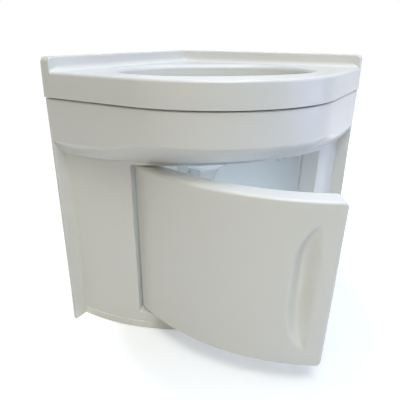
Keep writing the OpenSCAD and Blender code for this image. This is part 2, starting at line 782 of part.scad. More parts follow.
// Places a cutter at the door's two corners on its free side; it points into the door.
module at_free_corners() for (c = [[door_z0, 0], [door_z1, 1]]) rotate([0, 0, door_a1])
    translate([lower_r - 2 * door_t, 0, c[0]]) mirror([0, 1, 0]) mirror([0, 0, c[1]])
    rotate([90, 0, 90]) children();

// The door's outer form with its upright edges and its free corners rounded.
module door_outside() difference() {
    door_form(0, door_t);
    upright_edge(door_a0, 0);
    upright_edge(door_a1, 1);
    at_free_corners() linear_extrude(3 * door_t) corner_piece(door_corner_r);
}

// The hollow of the door, which keeps the wall's thickness at the rounded corners.
module door_hollow(i, depth) difference() {
    door_form(i, depth);
    at_free_corners() linear_extrude(3 * door_t) square(0.3 * door_corner_r + i);
}

// Rings of the finger grip, from its upper tip down, grown by g. At each height the hollow
// falls steeply on the hinge side and rises gently towards the free edge.
grip_rows = 16;
grip_cols = 12;
grip_deepest = 0.36;
function grip_fall(s) = s < grip_deepest ? smooth(s / grip_deepest)
    : 1 - smooth((s - grip_deepest) / (1 - grip_deepest));
function grip_point(edge, depth, z) = let (a = door_a1 - arc_deg(edge), r = lower_radius(z) - depth)
    [r * cos(a), r * sin(a), z];
function grip_ring(f, g) = let (
    z = mix((grip_low_z + grip_high_z) / 2, grip_high_z + g, f),
    inner = grip_tip + grip_in * (1 - pow(abs(f), 4.4)) + 1 + g,
    outer = grip_tip - grip_out * (1 - pow(abs(f), 3)) - 1 - g,
    deep = (grip_depth + g) * (1 - pow(abs(f), 2.6)) + 0.5
) concat(
    [grip_point(inner, -3 * cut, z), grip_point(outer, -3 * cut, z)],
    [for (k = [grip_cols:-1:0]) let (s = k / grip_cols)
        grip_point(mix(inner, outer, s), deep * grip_fall(s), z)]
);
module grip(g) ring_stack([for (j = [0:grip_rows]) grip_ring(sin(90 - 180 * j / grip_rows), g)]);

upper_block_z = door_z1 - door_skin_t - block_h;
lower_block_z = door_z0 + door_skin_t;
pin_reach = bush_len - 1;    // how far a pin runs into its bush, past the reveal
block_pin = block_h - 4;     // how far a pin is held in its block

module upper_pin(r) on_hinge() translate([0, 0, door_z1 - door_skin_t - block_pin])
    cylinder(r = r, h = head_z + pin_reach - (door_z1 - door_skin_t - block_pin));

module lower_pin(r) on_hinge() translate([0, 0, sill_z - pin_reach])
    cylinder(r = r, h = door_z0 + door_skin_t + block_pin - (sill_z - pin_reach));

module door_skin() color(abs_white) swung() difference() {
    union() {
        difference() {
            door_outside();
            door_hollow(door_skin_t, door_t + cut);
        }
        intersection() {
            grip(door_skin_t);
            front_shell(door_skin_t / 2, door_t, door_z0, door_z1, jamb_l, door_a1 - arc_deg(cut));
        }
    }
    grip(0);
    upper_pin(pin_r + screw_clear);
    lower_pin(pin_r + screw_clear);
}

rivet_r = 1.6;
rivet_head_h = 0.7;
rivet_gap = 0.02;
rivet_y = 11.5;
strike_h = 11;
strike_z = head_z - 5 - magnet_h - 1;

module at_rivets() for (s = [-1, 1])
    rotate([0, 0, catch_angle + arc_deg(s * rivet_y)])
        translate([lower_radius(strike_z + strike_h / 2) - door_t, 0, strike_z + strike_h / 2])
        rotate([0, 90 + front_draft, 0]) children();

module door_back() color(abs_white) swung() difference() {
    intersection() {
        door_hollow(door_skin_t + 0.1, door_t);
        front_shell(door_t - door_skin_t, door_t + cut, 0, crease_z, 0, 90);
    }
    at_rivets() translate([0, 0, -cut]) cylinder(r = rivet_r, h = door_skin_t + 2 * cut);
}

// Block in the hollow door's hinge-side corner, between the heights z0 and z0 + block_h.
module hinge_block(z0) intersection() {
    door_hollow(door_skin_t + 0.1, door_t - door_skin_t - 0.1);
    on_hinge() translate([-door_t, -2 * hinge_edge, z0 + 0.5])
        cube([2 * door_t, 2 * hinge_edge + 12, block_h - 1]);
}

module upper_hinge_block() color(nylon) swung() difference() {
    hinge_block(upper_block_z);
    upper_pin(pin_r);
}

module lower_hinge_block() color(nylon) swung() difference() {
    hinge_block(lower_block_z);
    lower_pin(pin_r);
}

module upper_hinge_pin() color(steel) swung() upper_pin(pin_r);

module lower_hinge_pin() color(steel) swung() lower_pin(pin_r);

module catch_strike() color(steel) swung() difference() {
    front_shell(door_t, door_t + strike_t, strike_z, strike_z + strike_h,
        catch_angle - arc_deg(strike_w / 2), catch_angle + arc_deg(strike_w / 2));
    at_rivets() translate([0, 0, -2 * cut]) cylinder(r = rivet_r, h = 3 * cut);
}

module strike_rivets() color(steel) swung() at_rivets() {
    translate([0, 0, -strike_t - rivet_gap])
        cylinder(r = rivet_r, h = strike_t + rivet_gap + door_skin_t);
    translate([0, 0, -strike_t - rivet_gap - rivet_head_h])
        cylinder(r = 1.8 * rivet_r, h = rivet_head_h);
}

basin_top();
apron();
lower_front();
left_side_panel();
right_side_panel();
corner_post();
cupboard_floor();
left_floor_batten();
right_floor_batten();
top_screws();
front_screws();
post_screws();
floor_screws();
upper_hinge_bush();
lower_hinge_bush();
catch_case();
catch_magnet();
catch_screws();
waste_body();
waste_upper_seal();
waste_lower_seal();
waste_backnut();
door_skin();
door_back();
upper_hinge_block();
lower_hinge_block();
upper_hinge_pin();
lower_hinge_pin();
catch_strike();
strike_rivets();
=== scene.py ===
import math

import bmesh
import bpy
import numpy as np
from mathutils import Matrix, Vector


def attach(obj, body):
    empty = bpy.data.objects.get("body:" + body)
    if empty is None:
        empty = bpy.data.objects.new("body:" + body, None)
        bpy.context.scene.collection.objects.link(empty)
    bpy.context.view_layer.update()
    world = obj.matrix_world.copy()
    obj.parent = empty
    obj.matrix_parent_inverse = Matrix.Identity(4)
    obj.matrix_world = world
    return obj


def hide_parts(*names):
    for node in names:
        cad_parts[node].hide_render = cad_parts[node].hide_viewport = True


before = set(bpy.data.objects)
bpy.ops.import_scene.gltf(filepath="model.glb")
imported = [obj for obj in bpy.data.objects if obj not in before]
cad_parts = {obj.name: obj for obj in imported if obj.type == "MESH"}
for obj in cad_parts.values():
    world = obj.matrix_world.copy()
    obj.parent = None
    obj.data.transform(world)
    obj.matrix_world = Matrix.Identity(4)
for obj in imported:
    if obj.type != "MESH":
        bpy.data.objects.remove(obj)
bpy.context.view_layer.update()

bl_info = {
    "name": "Corner vanity unit",
    "version": (1, 0, 0),
    "blender": (4, 5, 0),
    "location": "3D View > Sidebar > Vanity",
    "description": "Dresses the packed corner vanity unit with smooth mouldings and finishes",
    "category": "Add Mesh",
}

# -- sizes in millimetres and degrees --

# Basin top and upstands
WALL_LEN, TOTAL_H, FRONT_R, TOP_DRAFT, TOP_T = 400.0, 494.0, 227.0, 1.5, 4.0
DECK_Z, SKIRT_Z, DECK_EDGE_R, WALL_EDGE_R, SKIRT_FOOT_R = 471.5, 432.2, 5.0, 5.0, 0.8
UPSTAND_T, UPSTAND_END_R, COVE_R, END_COVE_R, COVE_FADE = 17.0, 8.0, 9.0, 3.0, 16.0
UPSTAND_SIDE_R = 1.5

# Bowl
BOWL_LEN, BOWL_W, BOWL_Y, RIM_R = 330.0, 245.0, 285.0, 8.0
WASTE_Y, FOOT_Z, RECESS_R, RECESS_D, HOLE_R = 218.0, 285.5, 35.0, 5.0, 21.4
BOWL_POWER, FRONT_POWER, BACK_POWER, ROUND_POWER = 2.3, 2.3, 4.0, 6

# Apron
BODY_LEN, BODY_R, SIDE_T, FLANGE_Z = 398.0, 225.0, 6.0, 431.0
APRON_FLANGE, SHOULDER_R, BELLY_Z, END_Z = 26.0, 4.0, 380.0, 364.0
END_W, BLEND_W, BELLY_POWER = 146.0, 90.0, 1.25

# Lower front
LOWER_R, FRONT_DRAFT, FRONT_T, CREASE_Z, CREASE_CUT = 370.0, 1.1, 4.0, 334.0, 0.5
BASE_H, BASE_PROUD, BASE_IN, BASE_R, BASE_CUT = 14.0, 2.0, 2.0, 1.2, 0.4
RETURN_W, RETURN_CUT = 20.0, 0.4
JAMB_L, JAMB_R, SILL_Z, HEAD_Z, OPENING_R = 20.2, 75.7, 35.0, 329.0, 3.0
REVEAL_D, REVEAL_T, LIP_H, LIP_R = 37.5, 3.0, 5.0, 14.0
CATCH_ANGLE, CATCH_HALF, SHELF_D, SOCKET_R, SOCKET_H = 67.0, 24.0, 24.0, 7.0, 11.0

# Side panels
PANEL_R, PANEL_CUT, SHARP_R, TOP_STRIP_IN, TOP_STRIP_CUT = 1.0, 0.6, 0.02, 8.0, 0.1

# Door
DOOR_T, DOOR_HINGE_T, TAPER_LEN, DOOR_SKIN_T, PANEL_GAP = 33.0, 27.0, 60.0, 3.0, 0.1
DOOR_GAP, HINGE_GAP, DOOR_OPEN, HINGE_SETBACK, HINGE_EDGE = 3.0, 4.0, 43.0, 11.0, 18.0
DOOR_CORNER_R, HINGE_CORNER_R, LEAST_CORNER_R, BACK_EDGE_R = 9.0, 2.0, 0.4, 0.6
GRIP_LOW_Z, GRIP_HIGH_Z, GRIP_TIP, GRIP_TIP_HALF = 72.0, 292.0, 32.0, 1.0
GRIP_IN, GRIP_OUT, GRIP_DEPTH, GRIP_DEEPEST = 34.0, 7.0, 17.0, 0.42
GRIP_IN_POWER, GRIP_OUT_POWER, GRIP_DEPTH_POWER = 4.4, 3, 2.6

STRAIGHT = BODY_LEN - BODY_R
MM = 0.001
HALF = math.sqrt(0.5)


# -- frames and curves --

def from_walls(points):
    """Points drawn against the walls, in mm, in the part's own frame, in metres."""
    p, q, z = np.moveaxis(np.asarray(points, float), -1, 0)
    return np.stack([(q - p) * HALF, -(p + q) * HALF, z], -1) * MM


def level(points, z, flip=False):
    """Points at one height; flip swaps the two walls."""
    return [(q, p, z) if flip else (p, q, z) for p, q in points]


def quarter(steps, first=0):
    """Angles over a quarter turn, in equal steps."""
    return [math.pi / 2 * i / steps for i in range(first, steps + 1)]


def bend(steps, first=0):
    """Pairs 1 - cosine and 1 - sine over a quarter turn, for an edge's rounding."""
    return [(1 - math.cos(a), 1 - math.sin(a)) for a in quarter(steps, first)]


def lean(z):
    """How far the top's outer faces lean in at height z."""
    return math.tan(math.radians(TOP_DRAFT)) * (z - SKIRT_Z)


def lower_radius(z):
    """Radius of the lower front's face at height z."""
    return LOWER_R + math.tan(math.radians(FRONT_DRAFT)) * z


def arc_deg(mm):
    """Angle that a length along the lower front takes."""
    return math.degrees(mm / LOWER_R)


def mix(a, b, f):
    return a + (b - a) * f


def line(a, b, steps):
    """Points from a up to b, without b itself, in equal steps."""
    return [(mix(a[0], b[0], i / steps), mix(a[1], b[1], i / steps)) for i in range(steps)]


def smooth(f):
    c = np.clip(f, 0, 1)
    return c * c * (3 - 2 * c)


def power(x, p):
    """A power that keeps its sign."""
    return np.sign(x) * np.abs(x) ** p


def on_cone(angle, z, depth):
    """A point behind the lower front's face, at an angle from the left wall."""
    a, r = np.radians(angle), lower_radius(z) - depth
    return np.stack([r * np.cos(a), r * np.sin(a), z + 0 * a], -1)


DOOR_A0 = JAMB_L + arc_deg(HINGE_GAP)
DOOR_A1 = JAMB_R - arc_deg(DOOR_GAP)
DOOR_Z0, DOOR_Z1 = SILL_Z + DOOR_GAP, HEAD_Z - DOOR_GAP
DOOR_W = (DOOR_A1 - DOOR_A0) / arc_deg(1)
DOOR_H = DOOR_Z1 - DOOR_Z0


def hinge_frame():
    """The frame on the door's hinge axis, against the walls."""
    return (Matrix.Rotation(math.radians(DOOR_A0 + arc_deg(HINGE_EDGE)), 4, "Z")
            @ Matrix.Translation((LOWER_R, 0, 0))
            @ Matrix.Rotation(math.radians(FRONT_DRAFT), 4, "Y")
            @ Matrix.Translation((-HINGE_SETBACK, 0, 0)))


def swung(points):
    """Turns points of the closed door to the angle at which it stands open at rest."""
    hinge = hinge_frame()
    opened = Matrix.Rotation(math.radians(-DOOR_OPEN), 4, "Z")
    turn = np.array(hinge @ opened @ hinge.inverted())
    return np.asarray(points) @ turn[:3, :3].T + turn[:3, 3]


# -- meshes --

SHARP_DEG, WELD_M, SLIVER_M = 32, 2e-6, 1e-6


def band(a, b):
    """Faces between two closed chains of point numbers of equal length."""
    k = len(a)
    return [[a[i], a[(i + 1) % k], b[(i + 1) % k], b[i]] for i in range(k)]


def sheets(n, m):
    """Faces of two n by m grids of points, one after the other, and the first's rim."""
    corners = [k + i * m + j for k in (0, n * m) for i in range(n - 1) for j in range(m - 1)]
    edge = ([i * m for i in range(n)] + [(n - 1) * m + j for j in range(1, m)]
            + [i * m + m - 1 for i in range(n - 2, -1, -1)] + list(range(m - 2, 0, -1)))
    return [[c, c + m, c + m + 1, c + 1] for c in corners], edge


def linked(name, data):
    """A new object in the scene."""
    obj = bpy.data.objects.new(name, data)
    bpy.context.scene.collection.objects.link(obj)
    return obj


class Moulding:
    """Collects closed shells, in mm against the walls, and makes one smooth object of them."""

    def __init__(self):
        self.points, self.faces = [], []

    def add(self, points, faces):
        """Adds points and faces that count from this shell's first point."""
        base = sum(len(p) for p in self.points)
        self.points.append(np.asarray(points, float).reshape(-1, 3))
        self.faces += [[base + i for i in f] for f in faces]

    def loft(self, rings, joined=False):
        """Joins rings of equal length; the last ring meets the first, or both ends are capped."""
        rings = np.asarray(rings, float)
        m, n = rings.shape[:2]
        chains = [list(range(j * n, (j + 1) * n)) for j in range(m)]
        follow = chains[1:] + chains[:1] if joined else chains[1:]
        faces = [f for a, b in zip(chains, follow) for f in band(a, b)]
        if not joined:
            faces += [chains[0], chains[-1]]
        self.add(rings, faces)

    def build(self, name, sharp=SHARP_DEG):
        """The object, with even normals on its flat faces."""
        mesh = bpy.data.meshes.new(name)
        points = from_walls(np.concatenate(self.points))
        mesh.from_pydata(points.tolist(), [], self.faces)
        bm = bmesh.new()
        bm.from_mesh(mesh)
        bmesh.ops.remove_doubles(bm, verts=bm.verts, dist=WELD_M)
        bmesh.ops.dissolve_degenerate(bm, edges=bm.edges, dist=SLIVER_M)
        bmesh.ops.recalc_face_normals(bm, faces=bm.faces)
        bm.to_mesh(mesh)
        bm.free()
        obj = linked(name, mesh)
        shade(obj, sharp)
        return obj


def shade(obj, sharp=SHARP_DEG):
    """Smooth shading that keeps edges sharper than an angle, with flat faces kept flat."""
    mesh = obj.data
    mesh.polygons.foreach_set("use_smooth", [True] * len(mesh.polygons))
    mesh.set_sharp_from_angle(angle=math.radians(sharp))
    weighted = obj.modifiers.new("even_normals", "WEIGHTED_NORMAL")
    weighted.keep_sharp = True


def united(obj, other):
    """Unites two closed meshes into one, and removes the second object."""
    boolean = obj.modifiers.new("unite", "BOOLEAN")
    boolean.operation, boolean.solver, boolean.object = "UNION", "MANIFOLD", other
    bpy.context.view_layer.update()
    solved = obj.evaluated_get(bpy.context.evaluated_depsgraph_get())
    merged = bpy.data.meshes.new_from_object(solved)
    obj.modifiers.clear()
    if not merged.polygons:
        raise RuntimeError(f"{obj.name} and {other.name} could not be united")
    obj.data = merged
    merged.name = obj.name
    bpy.data.objects.remove(other)
    return obj


def fit(obj, body, finish, *nodes, slot="white_moulding"):
    """Puts a finished piece in its body, in place of its CAD nodes."""
    obj.data.materials.clear()
    obj.data.materials.append(finish)
    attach(obj, body)
    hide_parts(*nodes)


def dress(finish, *nodes):
    """Gives CAD nodes, whose shapes are right as they are, a finish."""
    for node in nodes:
        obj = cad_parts[node]
        for slot in obj.material_slots:
            slot.material = finish
        if not obj.material_slots:
            obj.data.materials.append(finish)


# -- shader tools --

class Value:
    """A number that a shader node gives, for use in expressions."""

    def __init__(self, tree, socket):
        self.tree, self.socket = tree, socket

    def apply(self, operation, other, swapped=False):
        """Adds a Math node that works on this and another number or value."""
        node = self.tree.nodes.new("ShaderNodeMath")
        node.operation = operation
        for put, term in zip(node.inputs, (other, self) if swapped else (self, other)):
            if isinstance(term, Value):
                self.tree.links.new(term.socket, put)
            else:
                put.default_value = term
        return Value(self.tree, node.outputs[0])

    def __add__(self, other):
        return self.apply("ADD", other)

    __radd__ = __add__

    def __mul__(self, other):
        return self.apply("MULTIPLY", other)

    __rmul__ = __mul__

    def __sub__(self, other):
        return self.apply("SUBTRACT", other)

    def __rsub__(self, other):
        return self.apply("SUBTRACT", other, swapped=True)

    def __truediv__(self, other):
        return self.apply("DIVIDE", other)

    def __rtruediv__(self, other):
        return self.apply("DIVIDE", other, swapped=True)

    def above(self, edge, width):
        """0 below an edge, 1 above it, over a width."""
        return ((self - edge) / width).apply("MAXIMUM", 0.0).apply("MINIMUM", 1.0)


class Shader:
    """A node tree; each method adds nodes to it."""

    MIX_SHARE, MIX_FIRST, MIX_SECOND, MIX_COLOUR = 0, 6, 7, 2

    def __init__(self, tree):
        self.tree = tree
        tree.nodes.clear()

    def node(self, kind, settings=(), inputs=(), out=0):
        """Adds a node: its type, its settings, then its sockets' values or links."""
        node = self.tree.nodes.new("ShaderNode" + kind)
        for key, value in dict(settings).items():
            setattr(node, key, value)
        for key, value in dict(inputs).items():
            if isinstance(value, Value):
                self.tree.links.new(value.socket, node.inputs[key])
            else:
                node.inputs[key].default_value = value
        return Value(self.tree, node.outputs[out]) if len(node.outputs) else None

    def seen(self):
        """1 for what the camera sees, straight, mirrored or through glass, and 0 for light."""
        straight, mirrored, through = (self.node("LightPath", out=f"Is {ray} Ray")
                                       for ray in ("Camera", "Glossy", "Transmission"))
        return straight.apply("MAXIMUM", mirrored).apply("MAXIMUM", through)

    def blend(self, share, *colours):
        """Mixes two colours, each a tuple or a value."""
        first, second = ((*c, 1) if isinstance(c, tuple) else c for c in colours)
        inputs = {self.MIX_SHARE: share, self.MIX_FIRST: first, self.MIX_SECOND: second}
        return self.node("Mix", {"data_type": "RGBA"}, inputs, self.MIX_COLOUR)


class Finish(Shader):
    """A material of the object or the floor."""

    SOCKETS = {"colour": "Base Color", "rough": "Roughness", "metal": "Metallic", "ior": "IOR",
               "normal": "Normal", "coat": "Coat Weight", "coat_rough": "Coat Roughness"}

    def __init__(self, name):
        self.material = bpy.data.materials.new(name)
        self.material.use_nodes = True
        super().__init__(self.material.node_tree)
        self.place = self.node("TexCoord", out="Object")

    def noise(self, scale, detail=2.0, rough=0.5, stretch=(1, 1, 1)):
        """Noise with a scale per metre, stretched along the axes."""
        place = self.node("VectorMath", {"operation": "MULTIPLY"}, {0: self.place, 1: stretch})
        return self.node("TexNoise", {}, {
            "Vector": place, "Scale": scale, "Detail": detail, "Roughness": rough})

    def bump(self, height, distance, strength, below=None):
        """Bump of a height, 0 to 1, over a distance in metres, on top of another bump."""
        inputs = {"Height": height, "Distance": distance, "Strength": strength}
        if below is not None:
            inputs["Normal"] = below
        return self.node("Bump", {}, inputs)

    def surface(self, **inputs):
        """Ends the material in a Principled BSDF."""
        sockets = {self.SOCKETS[key]: value for key, value in inputs.items()}
        shader = self.node("BsdfPrincipled", {}, sockets)
        self.node("OutputMaterial", {}, {"Surface": shader})
        return self.material


# -- settings that can be changed --

COLOUR = {"subtype": "COLOR", "size": 3, "min": 0, "max": 1}
SHARE = {"subtype": "FACTOR", "min": 0, "max": 1}
WATTS = {"unit": "POWER", "min": 0, "max": 200}


class VanityLook(bpy.types.PropertyGroup):
    """Colours and gloss of the unit's materials."""

    gloss: bpy.props.FloatVectorProperty(
        name="Top white", description="Colour of the basin top and the apron",
        default=(0.765, 0.76, 0.735), **COLOUR)
    satin: bpy.props.FloatVectorProperty(
        name="Door white", description="Colour of the door, lower front and panels",
        default=(0.84, 0.835, 0.802), **COLOUR)
    gloss_rough: bpy.props.FloatProperty(
        name="Top roughness", description="Roughness of the basin top and the apron",
        default=0.34, **SHARE)
    satin_rough: bpy.props.FloatProperty(
        name="Door roughness", description="Roughness of the door, lower front and panels",
        default=0.36, **SHARE)
    paint: bpy.props.FloatVectorProperty(
        name="Paint", description="Colour of the painted post and battens",
        default=(0.74, 0.74, 0.71), **COLOUR)
    nylon: bpy.props.FloatVectorProperty(
        name="Nylon", description="Colour of the hinge bushes and the catch",
        default=(0.72, 0.71, 0.66), **COLOUR)


class VanitySizes(bpy.types.PropertyGroup):
    """Roundings of edges that the moulds leave."""

    upstand_round: bpy.props.FloatProperty(
        name="Upstand edge", description="Rounding of the upstands' top edges",
        subtype="DISTANCE", min=0.0005, max=0.006, default=0.003)
    opening_round: bpy.props.FloatProperty(
        name="Opening edge", description="Rounding of the door opening's front edge",
        subtype="DISTANCE", min=0.0003, max=0.003, default=0.0015)
    door_round: bpy.props.FloatProperty(
        name="Door edge", description="Rounding of the door's front edges",
        subtype="DISTANCE", min=0.001, max=0.006, default=0.005)


class VanityStage(bpy.types.PropertyGroup):
    """Floor, lamps and surroundings."""

    floor: bpy.props.FloatVectorProperty(
        name="Floor", description="Colour of the floor",
        default=(0.9, 0.9, 0.9), **COLOUR)
    sky: bpy.props.FloatProperty(
        name="Room light", description="Strength of the even light from all round",
        min=0, max=2, default=0)
    key: bpy.props.FloatProperty(
        name="Key lamp", description="Power of the soft lamp over the front",
        default=18, **WATTS)
    window: bpy.props.FloatProperty(
        name="Window lamp", description="Power of the small lamp high at the right",
        default=4, **WATTS)
    side: bpy.props.FloatProperty(
        name="Side lamp", description="Power of the low soft lamp at the right",
        default=9.5, **WATTS)
    top: bpy.props.FloatProperty(
        name="Top lamp", description="Power of the soft lamp overhead",
        default=28, **WATTS)
    fill: bpy.props.FloatProperty(
        name="Fill lamp", description="Power of the soft lamp at the front left",
        default=3.5, **WATTS)
    cupboard: bpy.props.FloatProperty(
        name="Cupboard lamp", description="Power of the small lamp in the cupboard",
        default=0.33, **WATTS)


def look():
    return bpy.context.scene.vanity_look


def sizes():
    return bpy.context.scene.vanity_sizes


def stage():
    return bpy.context.scene.vanity_stage


# -- finishes --

def white_moulding(name, white, rough, peel, coat):
    """White moulded plastic: orange peel, slow waves, faint clouds of tint and gloss."""
    made = bpy.data.materials.get(name)
    if made:
        return made
    f = Finish(name)
    red, green, blue = white
    warm, grit = (red, green * 0.985, blue * 0.955), (0.45, 0.43, 0.4)
    clouds = f.noise(scale=7, detail=3)
    specks = f.noise(scale=900, detail=1).above(0.74, 0.05)
    colour = f.blend(clouds.above(0.3, 0.5) * 0.3, (red, green, blue), warm)
    colour = f.blend(specks * 0.06, colour, grit)
    rubbed = f.noise(scale=38, detail=4, rough=0.6)
    fine = f.noise(scale=420)
    waves = f.bump(f.noise(scale=9, detail=1), distance=0.00045, strength=0.5)
    skin = f.bump(fine, distance=0.00002, strength=peel, below=waves)
    uneven = rubbed * 0.05 + clouds * 0.03 + (rough - 0.04)
    return f.surface(colour=colour, rough=uneven, normal=skin, ior=1.5, coat=coat, coat_rough=0.1)


def gloss_white():
    return white_moulding("gloss_white", look().gloss, look().gloss_rough, peel=0.35, coat=0.5)


def satin_white():
    return white_moulding("satin_white", look().satin, look().satin_rough, peel=0.8, coat=0.15)


def painted_wood():
    """Softwood under a thin coat of white paint, through which the grain shows as ridges."""
    f = Finish("painted_wood")
    paint = tuple(look().paint)
    worn = tuple(c * s for c, s in zip(paint, (0.9, 0.86, 0.78)))
    drift = f.noise(scale=5, detail=3, rough=0.55, stretch=(1, 1, 0.12))
    grain = f.noise(scale=240, detail=3, rough=0.6, stretch=(1, 1, 0.06))
    colour = f.blend(grain.above(0.55, 0.2) * 0.25 + drift * 0.2, paint, worn)
    ridges = f.bump(grain, distance=0.0003, strength=0.5)
    return f.surface(colour=colour, rough=0.45 + grain * 0.2, normal=ridges)


def zinc():
    """Zinc-plated steel with drawn marks and dull patches."""
    f = Finish("zinc_plate")
    drawn = f.noise(scale=900, rough=0.6, stretch=(1, 1, 0.08))
    dull = f.noise(scale=120, detail=3)
    colour = f.blend(dull, (0.56, 0.57, 0.6), (0.7, 0.71, 0.72))
    marks = f.bump(drawn, distance=0.00006, strength=0.5)
    return f.surface(colour=colour, metal=1.0, rough=dull * 0.2 + drawn * 0.1 + 0.2, normal=marks)


def nylon():
    """Natural nylon with a fine eroded texture."""
    f = Finish("natural_nylon")
    grain = f.noise(scale=1400)
    tint = f.noise(scale=60)
    base = tuple(look().nylon)
    colour = f.blend(tint * 0.5, base, tuple(c * 0.9 for c in base))
    eroded = f.bump(grain, distance=0.00005, strength=0.6)
    return f.surface(colour=colour, rough=grain * 0.15 + 0.42, normal=eroded)


def rubber():
    """Black rubber with a dusty bloom."""
    f = Finish("black_rubber")
    bloom = f.noise(scale=200, detail=4, rough=0.65)
    colour = f.blend(bloom.above(0.5, 0.3), (0.02, 0.02, 0.022), (0.06, 0.06, 0.062))
    dust = f.bump(bloom, distance=0.0001, strength=0.4)
    return f.surface(colour=colour, rough=bloom * 0.2 + 0.6, normal=dust)


def ferrite():
    """Dull dark magnet with a ground face."""
    f = Finish("ferrite")
    ground = f.noise(scale=1500, rough=0.6, stretch=(1, 0.1, 1))
    colour = f.blend(ground, (0.05, 0.05, 0.055), (0.12, 0.12, 0.13))
    marks = f.bump(ground, distance=0.00005, strength=0.5)
    return f.surface(colour=colour, rough=ground * 0.2 + 0.45, normal=marks)


# -- basin top --

WALL_STEPS, STRAIGHT_STEPS, ROUND_STEPS = 40, 16, 84
BOWL_ROWS, RIM_STEPS, EDGE_STEPS, BEND_STEPS, END_STEPS = 30, 8, 7, 6, 12
UPSTAND_STATIONS = [10, 12, 14, 16, 40, 120, 220, 320, 370]


def plan_loop(inset, wall, z):
    """Outline of the top, moved in by inset at the front and by wall along the walls."""
    end, low = WALL_LEN - inset, wall
    centre, r = WALL_LEN - FRONT_R, FRONT_R - inset
    along = line((low, low), (end, low), WALL_STEPS)
    face = line((end, low), (end, centre), STRAIGHT_STEPS)
    arc = [(centre + r * math.cos(a), centre + r * math.sin(a)) for a in quarter(ROUND_STEPS)[:-1]]
    far = line((centre, end), (low, end), STRAIGHT_STEPS)
    back = line((low, end), (low, low), WALL_STEPS)
    return np.array(level(along + face + arc + far + back, z))


def bowl_params():
    """Position of each point round the bowl, so that it faces its point on the outline."""
    loop = plan_loop(DECK_EDGE_R, 0, 0)
    x, y = (loop[:, 1] - loop[:, 0]) * HALF, BOWL_Y - (loop[:, 0] + loop[:, 1]) * HALF
    x[np.abs(x) < 1e-9] = 0
    a, b = BOWL_LEN / 2 + RIM_R, BOWL_W / 2 + RIM_R
    c, s = power(x / a, BOWL_POWER / 2), power(y / b, BOWL_POWER / 2)
    return np.arctan2(s, c)


def oval(turn, a, b, centre, z, exponent=BOWL_POWER):
    """Level oval, its centre that far from the back corner."""
    x = a * power(np.cos(turn), 2 / exponent)
    y = centre - b * power(np.sin(turn), 2 / exponent)
    return np.stack([(y - x) * HALF, (y + x) * HALF, z + 0 * x], -1)


def bowl_ring(turn, f, g):
    """Ring of the bowl at a fraction f of its depth, grown by g."""
    toe, m = RECESS_R + 1, BOWL_LEN / 2
    half = m * math.sqrt(1 - (1 - (toe / m) ** 2) * f * f)
    front = mix(BOWL_Y + BOWL_W / 2, WASTE_Y + toe, f ** FRONT_POWER)
    back = mix(BOWL_Y - BOWL_W / 2, WASTE_Y - toe, f ** BACK_POWER)
    z = mix(DECK_Z - RIM_R, FOOT_Z + RECESS_D, f) - g * f
    rounder = mix(BOWL_POWER, 2, f ** ROUND_POWER)
    return oval(turn, half + g, (front - back) / 2 + g, (front + back) / 2, z, rounder)


def basin_shell(m):
    """Bowl, deck, rolled edge and skirt, as one skin of even thickness."""
    turn = bowl_params()
    a, b = BOWL_LEN / 2, BOWL_W / 2
    depths = [math.sin(t) for t in quarter(BOWL_ROWS)[::-1]]

    def recess(out, z):
        return oval(turn, RECESS_R + out, RECESS_R + out, WASTE_Y, z, 2)

    # The face: from the waste's hole up the bowl and over the deck to the skirt
    rings = [recess(HOLE_R - RECESS_R, FOOT_Z), recess(-3, FOOT_Z), recess(-1, FOOT_Z + 0.6),
             recess(0, FOOT_Z + 2), recess(0.2, FOOT_Z + RECESS_D - 0.8)]
    rings += [bowl_ring(turn, f, 0) for f in depths]
    rings += [oval(turn, a + RIM_R * c, b + RIM_R * c, BOWL_Y, DECK_Z - RIM_R * s)
              for c, s in bend(RIM_STEPS, 1)]
    edge = plan_loop(lean(DECK_Z) + DECK_EDGE_R, WALL_EDGE_R, DECK_Z)
    rings += [mix(rings[-1], edge, f) for f in (0.2, 0.6, 0.9)] + [edge]
    rings += [plan_loop(lean(DECK_Z) + DECK_EDGE_R * s, WALL_EDGE_R * s, DECK_Z - DECK_EDGE_R * c)
              for c, s in bend(EDGE_STEPS, 1)]
    # The skirt's rounded foot, and the hidden side: up behind the skirt and down round the bowl
    foot_r, foot_bend, under_z = SKIRT_FOOT_R, 0.25, DECK_Z - TOP_T
    rings += [plan_loop(lean(SKIRT_Z + foot_r), 0, SKIRT_Z + foot_r),
              plan_loop(foot_bend, 0, SKIRT_Z + foot_bend), plan_loop(foot_r, 0, SKIRT_Z),
              plan_loop(TOP_T - foot_r, TOP_T, SKIRT_Z), plan_loop(TOP_T, TOP_T, SKIRT_Z + foot_r),
              plan_loop(TOP_T + 0.6, TOP_T, under_z - 3),
              plan_loop(TOP_T + 3.5, TOP_T + 2, under_z)]
    clear = RIM_R + 2
    under = oval(turn, a + clear, b + clear, BOWL_Y, under_z)
    rings += [mix(rings[-1], under, 0.7), under]
    rings += [bowl_ring(turn, f, TOP_T) for f in depths[::-2]]
    rings += [recess(TOP_T, FOOT_Z - TOP_T + 1.5), recess(TOP_T - 2, FOOT_Z - TOP_T),
              recess(HOLE_R - RECESS_R, FOOT_Z - TOP_T)]
    m.loft(rings, joined=True)


def end_round(r, t):
    """How far an end rounded by r has dropped at distance t from it."""
    return r - math.sqrt(max(0, r ** 2 - max(0, r - t) ** 2))


